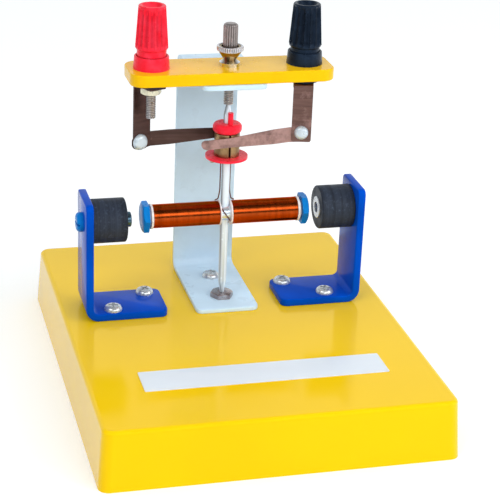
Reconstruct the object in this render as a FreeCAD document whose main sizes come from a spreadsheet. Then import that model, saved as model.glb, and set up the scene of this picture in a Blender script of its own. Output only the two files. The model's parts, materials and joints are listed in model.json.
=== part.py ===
import FreeCAD, Part
import math
import os
import re
import Sketcher
from FreeCAD import Placement, Rotation, Vector

# Demonstration electric motor: a wound bar armature spins on a vertical pivot shaft between
# two block magnets, fed through two leaf brushes from binding posts on a crossbar.
# Row frame: origin at the middle of the base's underside, +X right, +Y back, +Z up.
# Millimetres and degrees. Each size is one cell of the sheet, and every piece is bound to it.

SIZES = {
    # base moulding
    "base_width": 130.8,        # top face, left to right
    "base_depth": 165.4,        # top face, front to back
    "base_rise": 23.0,
    "base_flare": 1.57,         # how far each side leans out at the bottom
    "base_corner": 4.0,
    "base_brim": 1.5,           # rounding of the top edge
    "base_wall": 2.6,
    "rib_wall": 2.0,
    "rib_drop": 9.0,            # depth of the stiffening ribs under the top wall
    "rib_left": 38.4,           # ribs left and right of the middle, clear of the nuts
    "rib_right": 34.6,
    "rib_row": 49.0,            # ribs in front of and behind the middle
    "boss_wide": 10.0,
    "boss_drop": 4.0,
    "axis_back": 17.7,          # the shaft stands this far behind the base's middle
    # label plate
    "label_wide": 93.0,
    "label_deep": 15.3,
    "label_thick": 0.3,
    "label_front": 65.6,        # its middle, in front of the shaft
    "label_shift": 0.9,
    # column strip
    "column_wide": 25.4,
    "column_wall": 1.8,
    "column_shift": -0.1,
    "column_rise": 94.3,        # base top to the upper face of the arm
    "column_bend": 3.0,         # inner bend radius
    "column_back": 36.5,        # back face, behind the shaft
    "foot_front": 12.3,
    "arm_front": 12.2,
    "column_corner": 2.6,
    "column_screw_back": 20.0,
    # crossbar
    "bar_long": 79.8,
    "bar_deep": 21.8,
    "bar_thick": 4.7,
    "bar_shift": 0.1,
    "bar_corner": 5.5,
    "bar_brim": 0.5,
    # fasteners
    "screw_dia": 3.9,
    "screw_head": 7.2,
    "screw_head_rise": 2.2,
    "screw_crown": 1.5,
    "recess_wide": 1.0,
    "recess_long": 3.8,
    "recess_deep": 1.1,
    "hole_gap": 0.15,           # radial play of a screw in its hole
    "nut_flats": 7.0,
    "nut_thick": 3.2,
    "washer_wide": 9.0,
    "washer_thick": 0.8,
    "screw_end": 1.5,           # thread that shows past a nut
    # bearing bolt under the shaft
    "bolt_dia": 4.8,
    "bolt_flats": 8.2,
    "bolt_head": 2.1,
    "bolt_nut": 4.0,
    "cup_mouth": 3.2,
    "pivot_gap": 0.05,          # tip to cup
    # magnet brackets
    "bracket_wall": 3.0,
    "bracket_deep": 22.0,
    "bracket_foot": 32.8,
    "bracket_rise": 48.5,
    "bracket_bend": 2.2,        # inner bend radius
    "bracket_corner": 3.0,      # free corners of the foot
    "bracket_brow": 2.5,        # upper corners of the wall
    "left_near": 11.3,          # bend side screw, from the outer face
    "left_far": 26.5,           # free end screw, from the outer face
    "right_near": 13.3,
    "right_far": 27.9,
    "left_front": 6.8,          # bend side screw, in front of the bracket's middle
    "right_front": 5.6,
    "bracket_screw_back": 7.1,  # free end screw, behind it
    "left_face": 57.3,          # outer face of the left bracket, from the shaft
    "right_face": 55.2,
    "left_shift": -1.5,
    "right_shift": 0.0,
    # magnets and what holds them
    "magnet_dia": 17.5,
    "magnet_long": 13.8,
    "magnet_bore": 5.9,
    "magnet_edge": 0.6,
    "bush_bore": 4.4,
    "left_lip_wide": 6.0,
    "left_lip": 2.4,
    "right_lip_wide": 8.8,
    "right_lip": 0.4,
    "left_lip_round": 0.5,
    "right_lip_round": 0.2,
    "magnet_head": 7.8,
    "magnet_head_rise": 2.4,
    "left_bolt_in": 0.3,        # how far each bolt ends inside its bush
    "right_bolt_in": 2.2,
    # armature
    "axis_rise": 38.3,          # armature axis above the base top
    "shaft_dia": 3.2,
    "tip_rise": 2.9,            # lower tip above the base top
    "tip_wide": 1.7,
    "tip_long": 0.9,
    "shaft_neck": 5.8,          # length of the lower taper
    "shaft_long": 81.4,
    "top_cone": 5.2,
    "top_wide": 1.5,            # where the upper taper ends in its blunt point
    "top_point": 0.6,
    "core_dia": 6.35,
    "core_flats": 11.1,
    "core_head": 2.6,
    "core_half": 33.6,          # shaft axis to the outer face of the core's head
    "former_dia": 7.3,
    "coil_dia": 9.5,
    "coil_in": 2.0,             # inner end of a winding's former, from the shaft axis
    "inner_cheek": 0.5,
    "cheek_thick": 0.8,
    "cheek_gap": 0.8,           # outer cheek to the core's head
    "cheek_dia": 9.9,
    "wire_dia": 0.5,
    # commutator
    "flange_rise": 61.7,        # underside of the lower flange, above the base top
    "flange_dia": 16.7,
    "flange_thick": 1.0,
    "segment_dia": 10.0,
    "segment_tall": 9.3,
    "segment_slit": 0.8,
    "hub_dia": 6.5,
    "collar_dia": 11.4,
    "collar_tall": 3.9,
    "collar_round": 1.6,
    "tag_dia": 2.1,
    "tag_tall": 4.7,
    "tag_out": 2.7,
    "solder_dia": 2.2,
    "solder_tall": 1.2,
    "solder_out": 6.8,
    # brush gear
    "left_post": 30.5,          # binding post axes, left and right of the shaft
    "right_post": 29.8,
    "strip_wide": 7.7,
    "strip_wall": 0.8,
    "strip_bend": 1.0,
    "strip_out": 6.2,           # outer face of the hanging strip, from the stud's axis
    "tab_back": 5.0,            # end of the tab past the stud's axis
    "left_drop": 27.5,          # underside of the bar's washer to the strip's lower end
    "right_drop": 23.6,
    "left_rivet_drop": 24.3,
    "right_rivet_drop": 19.8,
    "left_rivet_aside": 1.0,    # rivet off the strip's middle, away from the commutator
    "right_rivet_aside": 0.0,
    "left_turn": 205.0,         # way each bracket faces, about its stud
    "right_turn": -14.0,
    "left_round": 3.4,
    "right_round": 0.9,
    "rivet_dia": 2.8,
    "left_rivet_head": 6.4,
    "right_rivet_head": 5.5,
    "rivet_rise": 1.7,
    "brush_wall": 0.4,
    "brush_tall": 6.0,
    "brush_tip": 3.8,
    "brush_gap": 0.06,          # brush face to segment
    "left_sag": 0.3,            # brush's line under its rivet
    "right_sag": 1.0,
    "left_tilt": 2.7,           # how far the brush's line rises to the commutator
    "right_tilt": -2.1,
    # binding posts
    "stud_dia": 3.9,
    "stud_long": 19.9,          # below the bar's top face
    "post_dia": 6.0,
    "socket_dia": 4.1,
    "socket_deep": 11.0,
    "post_rise": 20.0,          # stud's top above the bar
    "post_seat": 2.4,           # stud's shoulder above the bar
    "cross_hole": 2.0,
    "cross_rise": 6.9,
    "collar_wide": 14.0,        # at the bar
    "collar_top": 13.2,
    "collar_rise": 5.0,
    "collar_recess": 1.0,
    "spigot_dia": 7.4,
    "spigot_long": 2.2,
    "under_wide": 12.4,
    "under_thick": 2.1,
    "thin_nut": 2.5,
    "cap_low": 12.8,
    "cap_high": 10.5,
    "cap_neck": 11.3,
    "cap_rise": 23.6,           # cap's top above the bar
    "neck_rise": 7.2,           # where the flutes start
    "red_lift": 0.8,            # how far each cap stands unscrewed
    "black_lift": 0.0,
    "cap_bevel": 1.0,
    "cap_mouth": 7.8,           # opening at the cap's top
    "cap_throat": 5.2,          # and just above the stud
    "cap_brim": 0.8,
    "flute_count": 16,
    "flute_dia": 1.9,
    "insert_wall": 0.8,
    "insert_tall": 9.0,
    "play": 0.04,               # radial running clearance
    "seat_gap": 0.1,            # end clearance of a piece that turns
    # pivot screw and its lock nut
    "pivot_dia": 3.9,
    "pivot_cup": 0.85,          # depth of the cup over the shaft's upper tip
    "pivot_head": 5.7,
    "pivot_head_low": 7.0,      # head's lower end above the bar
    "pivot_head_top": 16.6,
    "pivot_crown": 1.3,
    "knurl_count": 20,
    "knurl_deep": 0.5,
    "nut_foot": 7.9,
    "nut_foot_tall": 1.4,
    "nut_waist": 4.7,
    "nut_waist_rise": 2.4,
    "nut_shoulder": 9.0,
    "nut_shoulder_rise": 5.9,
    "nut_hub": 8.4,
    "nut_recess": 6.8,
    "nut_floor": 5.2,           # floor of the top recess above the bar
    "rim_dia": 10.3,
    "rim_top": 7.8,
    "rim_count": 30,
}

doc = FreeCAD.newDocument("demonstration_motor")
sheet = doc.addObject("Spreadsheet::Sheet", "sizes")
for row, (alias, value) in enumerate(SIZES.items(), start=1):
    sheet.set(f"A{row}", alias.replace("_", " "))
    sheet.set(f"B{row}", str(value))
    sheet.setAlias(f"B{row}", alias)
doc.recompute()

# Heights and places that several pieces share, as expressions on the sheet.
BASE_TOP = "base_rise"
FOOT_TOP = "(base_rise + column_wall)"
ARM_TOP = "(base_rise + column_rise)"
BAR_TOP = "(base_rise + column_rise + bar_thick)"
AXIS_Z = "(base_rise + axis_rise)"
TAB_TOP = "(base_rise + column_rise - under_thick)"
UNDER_BOSS = "(base_rise - base_wall - boss_drop)"
TIP_LOW = "(base_rise + tip_rise)"
TIP_TOP = "(base_rise + tip_rise + shaft_long)"
FLANGE_Z = "(base_rise + flange_rise)"
SEGMENT_Z = "(base_rise + flange_rise + flange_thick)"
COLLAR_Z = "(base_rise + flange_rise + flange_thick + segment_tall)"
TO_LEFT = (Vector(0, 1, 0), -90)
TO_RIGHT = (Vector(0, 1, 0), 90)
WORD = re.compile(r"[a-z][a-z_]*")
nodes = []


def size(alias):
    return float(sheet.get(alias))


def bound(text):
    """An expression with each size's name pointed at its cell."""
    return WORD.sub(lambda m: "sizes." + m.group(0) if m.group(0) in SIZES else m.group(0), str(text))


def place(thing, at=("0", "0", "0"), turn=None):
    if turn:
        thing.Placement = Placement(Vector(0, 0, 0), Rotation(turn[0], turn[1]))
    for letter, text in zip("xyz", at):
        thing.setExpression(f"Placement.Base.{letter}", bound(text))


def new_body(label, at=("0", "axis_back", "0"), turn=None, node=True):
    body = doc.addObject("PartDesign::Body", label)
    body.Label = label
    place(body, at, turn)
    if node:
        nodes.append(body)
    return body


def turn_about_z(thing, alias):
    thing.Placement = Placement(Vector(0, 0, 0), Rotation(Vector(0, 0, 1), 1))
    thing.setExpression("Placement.Rotation.Angle", bound(alias))


def group(label, members):
    """Separate solids that share one node."""
    compound = doc.addObject("Part::Compound", label)
    compound.Label = label
    compound.Links = members
    nodes.append(compound)
    return compound


def outline(body, plane, corners, lift="0"):
    """A closed sketch of straight sides whose corners are each bound to two expressions."""
    sketch = body.newObject("Sketcher::SketchObject", "outline")
    origin_plane = [f for f in body.Origin.OriginFeatures if f.Role == plane]
    sketch.AttachmentSupport = [(origin_plane[0], "")]
    sketch.MapMode = "FlatFace"
    sketch.setExpression("AttachmentOffset.Base.z", bound(lift))
    count = len(corners)
    ring = [Vector(10 * math.cos(2 * math.pi * i / count), 10 * math.sin(2 * math.pi * i / count), 0)
            for i in range(count)]
    for i in range(count):
        sketch.addGeometry(Part.LineSegment(ring[i], ring[(i + 1) % count]), False)
    for i in range(count):
        sketch.addConstraint(Sketcher.Constraint("Coincident", i, 2, (i + 1) % count, 1))
    for i, corner in enumerate(corners):
        for kind, start, text in zip(("DistanceX", "DistanceY"), ring[i], corner):
            index = sketch.addConstraint(Sketcher.Constraint(kind, -1, 1, i, 1, start))
            sketch.setExpression(f"Constraints[{index}]", bound(text))
    doc.recompute()
    return sketch


def pad(body, plane, corners, length, lift="0", middle=False):
    feature = body.newObject("PartDesign::Pad", "pad")
    feature.Profile = outline(body, plane, corners, lift)
    feature.setExpression("Length", bound(length))
    if middle:
        feature.SideType = "Symmetric"
    doc.recompute()
    return feature


def revolve(body, profile):
    """A turned shape about the body's own Z; profile is (radius, height) expressions."""
    sketch = outline(body, "XZ_Plane", profile)
    feature = body.newObject("PartDesign::Revolution", "turned")
    feature.Profile = sketch
    feature.ReferenceAxis = (sketch, ["V_Axis"])
    feature.Angle = 360
    doc.recompute()
    return feature


def primitive(body, kind, at=("0", "0", "0"), turn=None, **dims):
    feature = body.newObject(f"PartDesign::{kind}", kind.lower())
    for name, text in dims.items():
        feature.setExpression(name, bound(text))
    place(feature, at, turn)
    doc.recompute()
    return feature


def drill(body, at, dia, depth, turn=None):
    """A round hole that starts at a point and runs along +Z, or along the turned Z."""
    before = body.Shape.Volume
    primitive(body, "SubtractiveCylinder", at, turn, Radius=f"({dia}) / 2", Height=depth)
    assert body.Shape.Volume < before, body.Label + ": a hole cuts nothing"


def edges_where(shape, test):
    return [f"Edge{i}" for i, edge in enumerate(shape.Edges, start=1) if test(edge)]


def round_off(body, test, radius):
    tip = body.Tip
    names = edges_where(tip.Shape, test)
    assert names, body.Label + ": no edge to round"
    fillet = body.newObject("PartDesign::Fillet", "rounding")
    fillet.Base = (tip, names)
    fillet.setExpression("Radius", bound(radius))
    doc.recompute()
    return fillet


def runs_along(edge, direction):
    ends = edge.Vertexes
    if len(ends) != 2 or edge.Curve.TypeId != "Part::GeomLine":
        return False
    way = (ends[1].Point - ends[0].Point).normalize()
    return abs(abs(way.dot(direction)) - 1) < 0.01


def rim_at(height, radius):
    """Chooses the circular edge of this radius at this height of the body's own frame."""
    def test(edge):
        return (edge.Curve.TypeId == "Part::GeomCircle" and abs(edge.Curve.Radius - radius) < 0.02
                and abs(edge.CenterOfMass.z - height) < 0.02)
    return test


ALONG_X = Vector(1, 0, 0)
ALONG_Y = Vector(0, 1, 0)
ALONG_Z = Vector(0, 0, 1)


def box_corners(half_x, half_y, mid_x="0", mid_y="0"):
    return [(f"{mid_x} - {half_x}", f"{mid_y} - {half_y}"), (f"{mid_x} + {half_x}", f"{mid_y} - {half_y}"),
            (f"{mid_x} + {half_x}", f"{mid_y} + {half_y}"), (f"{mid_x} - {half_x}", f"{mid_y} + {half_y}")]


# ---------------------------------------------------------------- places of the bracket screws
def bracket_screw_places():
    """X from the shaft and Y from the shaft of each magnet-bracket screw."""
    spots = []
    for sign, face, shift in (("-", "left_face", "left_shift"), ("", "right_face", "right_shift")):
        side = face.split("_")[0]
        spots.append((f"{sign}({face} - {side}_near)", f"{shift} - {side}_front"))
        spots.append((f"{sign}({face} - {side}_far)", f"{shift} + bracket_screw_back"))
    return spots


COLUMN_SCREW = ("0", "column_screw_back")
BEARING_SPOT = ("0", "0")


# ---------------------------------------------------------------- base
def build_base():
    body = new_body("base_shell", at=("0", "0", "0"))
    low = box_corners("(base_width / 2 + base_flare)", "(base_depth / 2 + base_flare)")
    outside = pad(body, "XY_Plane", low, "base_rise")
    outside.setExpression("TaperAngle", bound("-atan(base_flare / base_rise)"))
    doc.recompute()
    round_off(body, lambda e: abs(e.Vertexes[0].Point.z - e.Vertexes[-1].Point.z) > 1, "base_corner")
    top = size("base_rise")
    round_off(body, lambda e: all(abs(v.Point.z - top) < 0.01 for v in e.Vertexes), "base_brim")
    solid = body.Shape.Volume
    inside = body.newObject("PartDesign::Pocket", "inside")
    inside.Profile = outline(body, "XY_Plane",
                             box_corners("(base_width / 2 + base_flare - base_wall)",
                                         "(base_depth / 2 + base_flare - base_wall)"))
    inside.Reversed = True
    inside.setExpression("Length", bound("base_rise - base_wall"))
    inside.setExpression("TaperAngle", bound("-atan(base_flare / base_rise)"))
    doc.recompute()
    assert body.Shape.Volume < 0.4 * solid, "the underside is not hollow"
    bite = 0.5
    rib_z = "base_rise - base_wall - rib_drop"
    for side_rib, row_rib in (("-rib_left", "-rib_row"), ("rib_right", "rib_row")):
        pad(body, "XY_Plane",
            box_corners("rib_wall / 2", "(base_depth / 2 - base_wall / 2)", side_rib),
            f"rib_drop + {bite}", rib_z)
        pad(body, "XY_Plane",
            box_corners("(base_width / 2 - base_wall / 2)", "rib_wall / 2", "0", row_rib),
            f"rib_drop + {bite}", rib_z)
    spots = bracket_screw_places() + [COLUMN_SCREW, BEARING_SPOT]
    for x, y in spots:
        primitive(body, "AdditiveCylinder", (x, f"axis_back + {y}", UNDER_BOSS),
                  Radius="boss_wide / 2", Height=f"boss_drop + {bite}")
    for x, y in spots:
        bore = "bolt_dia" if (x, y) == BEARING_SPOT else "screw_dia"
        drill(body, (x, f"axis_back + {y}", "0"), f"({bore} + 2 * hole_gap)", "base_rise + 1")

    label = new_body("label_plate", at=("label_shift", "axis_back - label_front", BASE_TOP))
    pad(label, "XY_Plane", box_corners("label_wide / 2", "label_deep / 2"), "label_thick")


# ---------------------------------------------------------------- screws, nuts and washers
def pan_screw(label, at, under, length, node=False, head="screw_head", rise="screw_head_rise", turn=None,
              shank="screw_dia"):
    """Pan-head screw: `under` is the height of the head's seat, `length` its thread below."""
    body = new_body(label, at=(at[0], at[1], under), turn=turn, node=node)
    revolve(body, [("0", f"-({length})"), (f"{shank} / 2 - 0.4", f"-({length})"),
                   (f"{shank} / 2", f"0.4 - ({length})"), (f"{shank} / 2", "0"),
                   (f"{head} / 2", "0"), (f"{head} / 2", rise), ("0", rise)])
    round_off(body, rim_at(size(rise), size(head) / 2), "screw_crown")
    return body


def cross_recess(body, rise):
    for width, depth in (("recess_wide", "recess_long"), ("recess_long", "recess_wide")):
        primitive(body, "SubtractiveBox", (f"-{width} / 2", f"-{depth} / 2", f"{rise} - recess_deep"),
                  Length=width, Width=depth, Height="recess_deep + 1")


def slot_recess(body, head, rise):
    primitive(body, "SubtractiveBox", ("-recess_wide / 2", f"-{head}", f"{rise} - recess_deep"),
              Length="recess_wide", Width=f"2 * {head}", Height="recess_deep + 1")


def hex_nut(label, at, low, flats, thick, bore, node=False, turn=None):
    body = new_body(label, at=(at[0], at[1], low), turn=turn, node=node)
    prism = primitive(body, "AdditivePrism", Circumradius=f"{flats} / sqrt(3)", Height=thick)
    prism.Polygon = 6
    drill(body, ("0", "0", "-1"), bore, f"{thick} + 2")
    return body


def washer(label, at, low, wide, thick, bore, node=False):
    body = new_body(label, at=(at[0], at[1], low), node=node)
    primitive(body, "AdditiveCylinder", Radius=f"{wide} / 2", Height=thick)
    drill(body, ("0", "0", "-1"), bore, f"{thick} + 2")
    return body


def build_fasteners():
    grip_bracket = "bracket_wall + base_wall + boss_drop + washer_thick + nut_thick + screw_end"
    grip_column = "column_wall + base_wall + boss_drop + washer_thick + nut_thick + screw_end"
    screws, nuts, rings = [], [], []
    for i, (x, y) in enumerate(bracket_screw_places()):
        at = (x, f"axis_back + {y}")
        screw = pan_screw(f"bracket_screw_{i}", at, "base_rise + bracket_wall", grip_bracket)
        cross_recess(screw, "screw_head_rise")
        screws.append(screw)
        rings.append(washer(f"under_ring_{i}", at, f"{UNDER_BOSS} - washer_thick", "washer_wide",
                            "washer_thick", "(screw_dia + 2 * hole_gap)"))
        nuts.append(hex_nut(f"under_nut_{i}", at, f"{UNDER_BOSS} - washer_thick - nut_thick", "nut_flats",
                            "nut_thick", "screw_dia"))
    at = (COLUMN_SCREW[0], f"axis_back + {COLUMN_SCREW[1]}")
    column_screw = pan_screw("column_screw", at, FOOT_TOP, grip_column, node=True)
    cross_recess(column_screw, "screw_head_rise")
    rings.append(washer("under_ring_column", at, f"{UNDER_BOSS} - washer_thick", "washer_wide",
                        "washer_thick", "(screw_dia + 2 * hole_gap)"))
    nuts.append(hex_nut("under_nut_column", at, f"{UNDER_BOSS} - washer_thick - nut_thick", "nut_flats",
                        "nut_thick", "screw_dia"))
    group("bracket_screws", screws)
    group("base_nuts", nuts)
    group("base_washers", rings)

    bolt = new_body("bearing_bolt", at=("0", "axis_back", FOOT_TOP))
    prism = primitive(bolt, "AdditivePrism", Circumradius="bolt_flats / sqrt(3)", Height="bolt_head")
    prism.Polygon = 6
    bolt_grip = "(column_wall + base_wall + boss_drop + bolt_nut + screw_end)"
    primitive(bolt, "AdditiveCylinder", ("0", "0", f"-{bolt_grip}"), Radius="bolt_dia / 2",
              Height=f"{bolt_grip} + 1")
    cup_low = "(tip_rise - column_wall - pivot_gap)"
    primitive(bolt, "SubtractiveCone", ("0", "0", cup_low), Radius1="0.01",
              Radius2=f"cup_mouth / 2 * (bolt_head - {cup_low} + 0.2) / (bolt_head - {cup_low})",
              Height=f"bolt_head - {cup_low} + 0.2")
    hex_nut("bearing_nut", ("0", "axis_back"), f"{UNDER_BOSS} - bolt_nut", "bolt_flats", "bolt_nut",
            "bolt_dia", node=True)


# ---------------------------------------------------------------- column and crossbar
def build_column():
    body = new_body("column", at=("column_shift", "axis_back", BASE_TOP))
    back, wall, rise = "column_back", "column_wall", "column_rise"
    pad(body, "YZ_Plane",
        [("-foot_front", "0"), (back, "0"), (back, rise), ("-arm_front", rise),
         ("-arm_front", f"{rise} - {wall}"), (f"{back} - {wall}", f"{rise} - {wall}"),
         (f"{back} - {wall}", wall), ("-foot_front", wall)],
        "column_wide", middle=True)
    y_back, t = size("column_back"), size("column_wall")
    at_y = lambda e, y: runs_along(e, ALONG_X) and abs(e.CenterOfMass.y - y) < 0.01
    round_off(body, lambda e: at_y(e, y_back), "column_bend + column_wall")
    round_off(body, lambda e: at_y(e, y_back - t), "column_bend")
    front = -min(size("foot_front"), size("arm_front")) + 0.01
    round_off(body, lambda e: runs_along(e, ALONG_Z) and e.CenterOfMass.y < front, "column_corner")
    drill(body, ("-column_shift", "0", "-1"), "(bolt_dia + 2 * hole_gap)", "column_wall + 2")
    drill(body, ("-column_shift", "column_screw_back", "-1"), "(screw_dia + 2 * hole_gap)",
          "column_wall + 2")
    drill(body, ("-column_shift", "0", "column_rise - column_wall - 1"), "(pivot_dia + 2 * play)",
          "column_wall + 2")

    bar = new_body("crossbar", at=("0", "axis_back", ARM_TOP))
    pad(bar, "XY_Plane", box_corners("bar_long / 2", "bar_deep / 2", "bar_shift"), "bar_thick")
    round_off(bar, lambda e: runs_along(e, ALONG_Z), "bar_corner")
    bar_ends = (0.0, size("bar_thick"))
    round_off(bar, lambda e: any(abs(e.BoundBox.ZMin - z) < 0.01 and abs(e.BoundBox.ZMax - z) < 0.01
                                 for z in bar_ends), "bar_brim")
    drill(bar, ("0", "0", "-1"), "(pivot_dia + 2 * hole_gap)", "bar_thick + 2")
    for spot in ("-left_post", "right_post"):
        drill(bar, (spot, "0", "-1"), "spigot_dia", "bar_thick + 2")


# ---------------------------------------------------------------- magnet brackets and magnets
def build_magnet_side(side, turn):
    """One side's bracket, magnet, bolt and bush. `out` is the way away from the shaft."""
    sign = "-" if side == "left" else ""
    face, shift = f"{side}_face", f"{side}_shift"
    bracket = new_body(f"{side}_bracket", at=("0", f"axis_back + {shift}", BASE_TOP))
    inner, outer, free = f"{sign}({face} - bracket_wall)", f"{sign}{face}", f"{sign}({face} - bracket_foot)"
    pad(bracket, "XZ_Plane",
        [(outer, "0"), (outer, "bracket_rise"), (inner, "bracket_rise"), (inner, "bracket_wall"),
         (free, "bracket_wall"), (free, "0")], "bracket_deep", middle=True)
    way = -1 if side == "left" else 1
    x_out, t = way * size(face), size("bracket_wall")
    x_free = x_out - way * size("bracket_foot")
    bend = lambda e, x, z: (runs_along(e, ALONG_Y) and abs(e.CenterOfMass.x - x) < 0.01
                            and abs(e.CenterOfMass.z - z) < 0.01)
    round_off(bracket, lambda e: bend(e, x_out, 0), "bracket_bend + bracket_wall")
    round_off(bracket, lambda e: bend(e, x_out - way * t, t), "bracket_bend")
    round_off(bracket, lambda e: runs_along(e, ALONG_Z) and abs(e.CenterOfMass.x - x_free) < 0.01,
              "bracket_corner")
    brow = size("bracket_rise")
    round_off(bracket, lambda e: runs_along(e, ALONG_X) and abs(e.CenterOfMass.z - brow) < 0.01,
              "bracket_brow")
    for spot, reach in ((f"-{side}_front", f"{side}_near"), ("bracket_screw_back", f"{side}_far")):
        drill(bracket, (f"{sign}({face} - {reach})", spot, "-1"), "(screw_dia + 2 * hole_gap)",
              "bracket_wall + 2")
    drill(bracket, (f"{sign}({face} - bracket_wall - 1)", "0", "axis_rise"), "(bush_bore + 2 * hole_gap)",
          "bracket_wall + 2", turn)

    seat = (f"{sign}({face} - bracket_wall)", f"axis_back + {shift}", AXIS_Z)
    inward = TO_RIGHT if side == "left" else TO_LEFT
    magnet = new_body(f"{side}_magnet", at=seat, turn=inward)
    primitive(magnet, "AdditiveCylinder", Radius="magnet_dia / 2", Height="magnet_long")
    for z in (0.0, size("magnet_long")):
        round_off(magnet, rim_at(z, size("magnet_dia") / 2), "magnet_edge")
    drill(magnet, ("0", "0", "-1"), "magnet_bore", "magnet_long + 2")

    bush = new_body(f"{side}_magnet_bush", at=seat, turn=inward)
    bush_end = f"(magnet_long + {side}_lip)"
    primitive(bush, "AdditiveCylinder", Radius="magnet_bore / 2", Height=bush_end)
    primitive(bush, "AdditiveCylinder", ("0", "0", "magnet_long"), Radius=f"{side}_lip_wide / 2",
              Height=f"{side}_lip")
    round_off(bush, rim_at(size("magnet_long") + size(f"{side}_lip"), size(f"{side}_lip_wide") / 2),
              f"{side}_lip_round")
    drill(bush, ("0", "0", "-1"), "bush_bore", f"{bush_end} + 2")

    bolt = pan_screw(f"{side}_magnet_bolt", (f"{sign}{face}", f"axis_back + {shift}"), AXIS_Z,
                     f"bracket_wall + {bush_end} - {side}_bolt_in", node=True, head="magnet_head",
                     rise="magnet_head_rise", turn=turn, shank="bush_bore")
    slot_recess(bolt, "magnet_head", "magnet_head_rise")


# ---------------------------------------------------------------- armature
def coil_side(name, near, far, inside, outside, node=False):
    """Two tubes about the armature's axis, one each side of the shaft."""
    members = []
    for side, turn in (("left", TO_LEFT), ("right", TO_RIGHT)):
        label = f"{side}_{name}"
        body = new_body(label, at=("0", "axis_back", AXIS_Z), turn=turn, node=node)
        primitive(body, "AdditiveCylinder", ("0", "0", near), Radius=f"{outside} / 2",
                  Height=f"{far} - ({near})")
        drill(body, ("0", "0", f"{near} - 1"), inside, f"{far} - ({near}) + 2")
        members.append(body)
    return members


def build_armature():
    shaft = new_body("shaft")
    revolve(shaft, [("0", TIP_LOW), ("tip_wide / 2", f"{TIP_LOW} + tip_long"),
                    ("shaft_dia / 2", f"{TIP_LOW} + shaft_neck"),
                    ("shaft_dia / 2", f"{TIP_TOP} - top_cone"), ("top_wide / 2", f"{TIP_TOP} - top_point"),
                    ("0", TIP_TOP)])

    core = new_body("core_bolt", at=("0", "axis_back", AXIS_Z), turn=TO_RIGHT)
    primitive(core, "AdditiveCylinder", ("0", "0", "-core_half + core_head"), Radius="core_dia / 2",
              Height="2 * core_half - core_head")
    head = primitive(core, "AdditivePrism", ("0", "0", "-core_half"), Circumradius="core_flats / sqrt(3)",
                     Height="core_head")
    head.Polygon = 6
    drill(core, ("-core_dia", "0", "0"), "shaft_dia", "2 * core_dia", TO_RIGHT)
    hex_nut("core_nut", ("core_half - core_head", "axis_back"), AXIS_Z, "core_flats", "core_head",
            "core_dia", node=True, turn=TO_RIGHT)

    group("coil_formers", coil_side("former", "coil_in", "(core_half - core_head)", "core_dia", "former_dia"))
    far = "(core_half - core_head - cheek_gap)"
    coil_side("coil", "(coil_in + inner_cheek)", f"({far} - cheek_thick)", "former_dia", "coil_dia",
              node=True)
    cheeks = coil_side("inner_cheek", "coil_in", "(coil_in + inner_cheek)", "former_dia", "cheek_dia")
    cheeks += coil_side("outer_cheek", f"({far} - cheek_thick)", far, "former_dia", "cheek_dia")
    group("coil_cheeks", cheeks)


def build_commutator():
    hub = new_body("commutator_hub")
    revolve(hub, [("shaft_dia / 2", FLANGE_Z), ("flange_dia / 2", FLANGE_Z),
                  ("flange_dia / 2", SEGMENT_Z), ("hub_dia / 2", SEGMENT_Z), ("hub_dia / 2", COLLAR_Z),
                  ("collar_dia / 2", COLLAR_Z), ("collar_dia / 2", f"{COLLAR_Z} + collar_tall"),
                  ("shaft_dia / 2", f"{COLLAR_Z} + collar_tall")])
    collar_low = size("base_rise") + size("flange_rise") + size("flange_thick") + size("segment_tall")
    for z in (collar_low, collar_low + size("collar_tall")):
        round_off(hub, rim_at(z, size("collar_dia") / 2), "collar_round")
    # a short moulded tag stands on the collar beside the shaft
    primitive(hub, "AdditiveCylinder",
              ("tag_out * 0.21", "-tag_out * 0.978", f"{COLLAR_Z} + collar_tall - 0.5"),
              Radius="tag_dia / 2", Height="tag_tall + 0.5")

    for side, sign in (("left", "-"), ("right", "")):
        segment = new_body(f"{side}_segment")
        primitive(segment, "AdditiveCylinder", ("0", "0", SEGMENT_Z), Radius="segment_dia / 2",
                  Height="segment_tall")
        drill(segment, ("0", "0", f"{SEGMENT_Z} - 1"), "hub_dia", "segment_tall + 2")
        edge = "segment_slit / 2 - segment_dia" if side == "right" else "-segment_slit / 2"
        primitive(segment, "SubtractiveBox", (edge, "-segment_dia", f"{SEGMENT_Z} - 1"),
                  Length="segment_dia", Width="2 * segment_dia", Height="segment_tall + 2")

    joints = []
    for side, x in (("left", "-solder_out * 0.93"), ("right", "solder_out * 0.93")):
        blob = new_body(f"{side}_blob", at=(x, "axis_back - solder_out * 0.37",
                                            f"{FLANGE_Z} - solder_tall"), node=False)
        primitive(blob, "AdditiveCylinder", Radius="solder_dia / 2", Height="solder_tall")
        round_off(blob, rim_at(0.0, size("solder_dia") / 2), "solder_dia * 0.4")
        joints.append(blob)
    group("solder_joints", joints)


def wire_along(points, share=0.45):
    """A round wire along straight runs joined by tangent arcs."""
    points = [Vector(*p) for p in points]
    edges, start = [], points[0]
    for before, corner, after in zip(points, points[1:], points[2:]):
        back, ahead = (before - corner), (after - corner)
        cut = share * min(back.Length, ahead.Length)
        leave, join = corner + back.normalize() * cut, corner + ahead.normalize() * cut
        half = back.getAngle(ahead) / 2
        centre = corner + (back + ahead).normalize() * (cut / math.cos(half))
        middle = centre + (corner - centre).normalize() * (leave - centre).Length
        edges.append(Part.LineSegment(start, leave).toShape())
        edges.append(Part.Arc(leave, middle, join).toShape())
        start = join
    edges.append(Part.LineSegment(start, points[-1]).toShape())
    path = Part.Wire(edges)
    ring = Part.Wire([Part.makeCircle(size("wire_dia") / 2, points[0], points[1] - points[0])])
    return path.makePipeShell([ring], True, False)


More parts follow.
